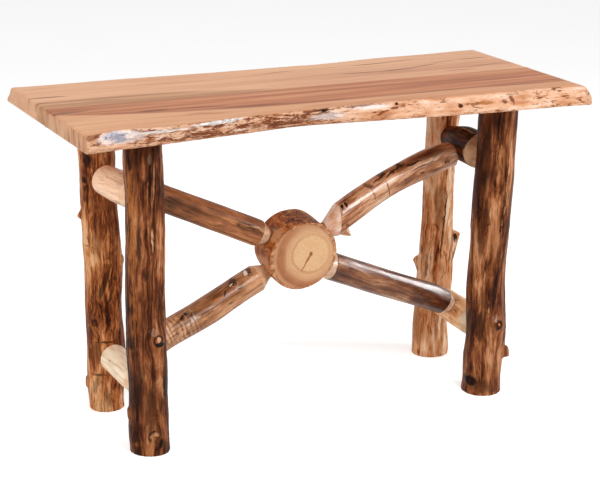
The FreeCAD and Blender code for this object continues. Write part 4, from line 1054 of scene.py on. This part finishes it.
# Logs. Each knot has a place, a radius and the height it is raised by. Those of no height sit on stubs of the CAD
# logs that stand out enough.
leg_knots = {
    "leg_front_left": (
        ((-0.434, -0.191, 0.272), 0.0110, 0.0045), ((-0.447, -0.190, 0.047), 0.013, 0.0030),
        ((-0.486, -0.137, 0.090), 0.015, 0.0), ((-0.420, -0.111, 0.480), 0.010, 0.0020)),
    "leg_back_left": (
        ((-0.485, 0.144, 0.064), 0.016, 0.0), ((-0.489, 0.144, 0.482), 0.014, 0.0),
        ((-0.404, 0.105, 0.365), 0.014, 0.0), ((-0.492, 0.108, 0.566), 0.008, 0.0020),
        ((-0.476, 0.102, 0.222), 0.011, 0.0020), ((-0.432, 0.169, 0.300), 0.011, 0.0020)),
    "leg_front_right": (
        ((0.440, -0.197, 0.182), 0.0125, 0.0045), ((0.479, -0.181, 0.104), 0.016, 0.0),
        ((0.389, -0.162, 0.036), 0.011, 0.0030), ((0.414, -0.106, 0.420), 0.011, 0.0020)),
    "leg_back_right": (
        ((0.500, 0.0995, 0.326), 0.013, 0.0), ((0.4135, 0.151, 0.254), 0.013, 0.0),
        ((0.464, 0.170, 0.520), 0.011, 0.0020)),
}
for node, run in leg_runs.items():
    leg = log_piece(node, run, leg_voxel, 0.0036, 0.0040, leg_knots[node])
    settle(leg, node, leg_finishes[node])
for node, run in rail_runs.items():
    rail = log_piece(node, run, log_voxel, 0.0012, 0.0020, turned_start=0.085, turned_end=0.085)
    settle(rail, node, rail_finishes[node])
varnished_logs = bpy.data.collections.new("varnished_logs")
brace_knots = {
    "brace_upper_right": (((0.371, -0.040, 0.556), 0.007, 0.0015),),
    "brace_lower_left": (((-0.181, -0.030, 0.320), 0.005, 0.0010), ((-0.144, -0.030, 0.340), 0.005, 0.0010)),
}
for node, run in brace_runs.items():
    knots = brace_knots.get(node, ())
    brace = log_piece(node, run, log_voxel, 0.0007, 0.0024, knots, turned_start=0.15, turned_end=0.10)
    settle(brace, node, brace_finishes[node])
    varnished_logs.objects.link(brace)
hub = log_piece("centre_hub", hub_run, log_voxel, 0.0016, 0.0036, turned_start=0.06, turned_end=0.06)
settle(hub, "centre_hub", hub_finish())

# Hidden pins, screws and plugs keep their CAD shape
pin_finishes = {
    "top_dowels": plain_wood_finish("dowel_wood", "#d9b387", "#b88e62", (60.0, 12.0, 60.0)),
    "leg_screw_plugs": plain_wood_finish("leg_plug_wood", "#8a5a38", "#5c3821", (90.0, 40.0, 40.0)),
    "rail_screw_plugs": plain_wood_finish("rail_plug_wood", "#c08f66", "#946340", (40.0, 40.0, 90.0)),
    "hub_screw_plugs": plain_wood_finish("hub_plug_wood", "#c9986c", "#a06c42", (60.0, 20.0, 60.0)),
}
zinc = screw_finish()
for node in ("rail_tenon_screws", "brace_tenon_screws", "hub_tenon_screws"):
    pin_finishes[node] = zinc
for node, finish in pin_finishes.items():
    nodes[node].data.materials.clear()
    nodes[node].data.materials.append(finish)


# Studio

def white_to_eye(tree):
    """1 for rays that should meet the white background: the camera's, and those that gloss and glass send out."""
    rays = tree.nodes.new("ShaderNodeLightPath").outputs
    seen = rays["Is Camera Ray"]
    for kind in ("Is Glossy Ray", "Is Transmission Ray"):
        either = tree.nodes.new("ShaderNodeMath")
        either.operation = "MAXIMUM"
        tree.links.new(seen, either.inputs[0])
        tree.links.new(rays[kind], either.inputs[1])
        seen = either.outputs[0]
    return seen


def studio_floor(glow_level):
    bpy.ops.object.select_all(action="DESELECT")
    bpy.ops.mesh.primitive_plane_add(size=60.0, location=(0, 0, 0))
    floor = bpy.context.object
    floor.name = "studio_floor"
    finish = Finish("studio_floor", 0.9, shine=0.0)
    speck = finish.cloud(finish.object_place(), (3.0, 3.0, 3.0), (0, 0, 0), 2.0)
    finish.feed(finish.shader.inputs["Base Color"], finish.shades(speck, ((0.3, "#efefef"), (0.7, "#f1f1f1"))))
    glow = finish.node("ShaderNodeEmission", {"Strength": finish.times(white_to_eye(finish.tree), glow_level)})
    both = finish.node("ShaderNodeAddShader", {0: finish.shader.outputs[0], 1: glow.outputs[0]})
    finish.feed(finish.tree.nodes["Material Output"].inputs["Surface"], both.outputs[0])
    floor.data.materials.append(finish.material)


def softbox(name, place, aim, width, height, power, shines_on=None):
    """Rectangular lamp. With shines_on it adds a highlight to those pieces alone."""
    lamp = bpy.data.lights.new(name, "AREA")
    lamp.shape = "RECTANGLE"
    lamp.size = width
    lamp.size_y = height
    lamp.energy = power
    holder = bpy.data.objects.new(name, lamp)
    holder.location = place
    holder.rotation_euler = (Vector(aim) - Vector(place)).to_track_quat("-Z", "Y").to_euler()
    if shines_on:
        holder.visible_diffuse = False
        holder.light_linking.receiver_collection = shines_on
    bpy.context.scene.collection.objects.link(holder)


def studio_world(level):
    """White to the eye, and a grey of the given level to the pieces."""
    world = bpy.data.worlds.new("studio")
    bpy.context.scene.world = world
    world.use_nodes = True
    tree = world.node_tree
    backdrop = tree.nodes["Background"]
    backdrop.inputs["Color"].default_value = (1, 1, 1, 1)
    pick = tree.nodes.new("ShaderNodeMapRange")
    pick.inputs["To Min"].default_value = level
    pick.inputs["To Max"].default_value = 1.0
    tree.links.new(white_to_eye(tree), pick.inputs["Value"])
    tree.links.new(pick.outputs["Result"], backdrop.inputs["Strength"])


studio_floor(0.53)
studio_world(0.42)
knee_height = (0, 0, 0.4)
softbox("front", (0.1, -3.0, 2.9), knee_height, 0.95, 0.7, 58)
softbox("right", (2.7, -1.3, 1.8), knee_height, 0.7, 0.9, 32)
softbox("left", (-2.9, -0.9, 1.7), knee_height, 1.1, 1.1, 33)
softbox("overhead", (-0.2, 0.2, 2.8), knee_height, 2.4, 1.6, 12)
softbox("right_highlight", (2.62, -0.5, 1.75), (0.2, 0, 0.3), 2.5, 0.60, 150, varnished_logs)
softbox("front_highlight", (0.15, -2.3, 2.8), (0.15, 0, 0.45), 1.2, 0.5, 85, varnished_logs)


def photo_camera():
    """Camera at the place that the photograph's perspective gives."""
    yaw = math.radians(26.626)
    pitch = math.radians(17.462)
    roll = math.radians(0.938)
    ahead = Vector((math.sin(yaw) * math.cos(pitch), math.cos(yaw) * math.cos(pitch), -math.sin(pitch)))
    level = Vector((math.cos(yaw), -math.sin(yaw), 0))
    above = level.cross(ahead)
    right = level * math.cos(roll) + above * math.sin(roll)
    up = above * math.cos(roll) - level * math.sin(roll)
    lens = bpy.data.cameras.new("photo_camera")
    lens.sensor_width = 36.0
    lens.lens = 100.15
    lens.clip_end = 100.0
    camera = bpy.data.objects.new("photo_camera", lens)
    turn = Matrix((right, up, -ahead)).transposed()
    camera.matrix_world = Matrix.Translation((-1.6824, -3.3588, 1.5511)) @ turn.to_4x4()
    bpy.context.scene.collection.objects.link(camera)
    bpy.context.scene.camera = camera


photo_camera()
bpy.context.scene.view_settings.view_transform = "Standard"
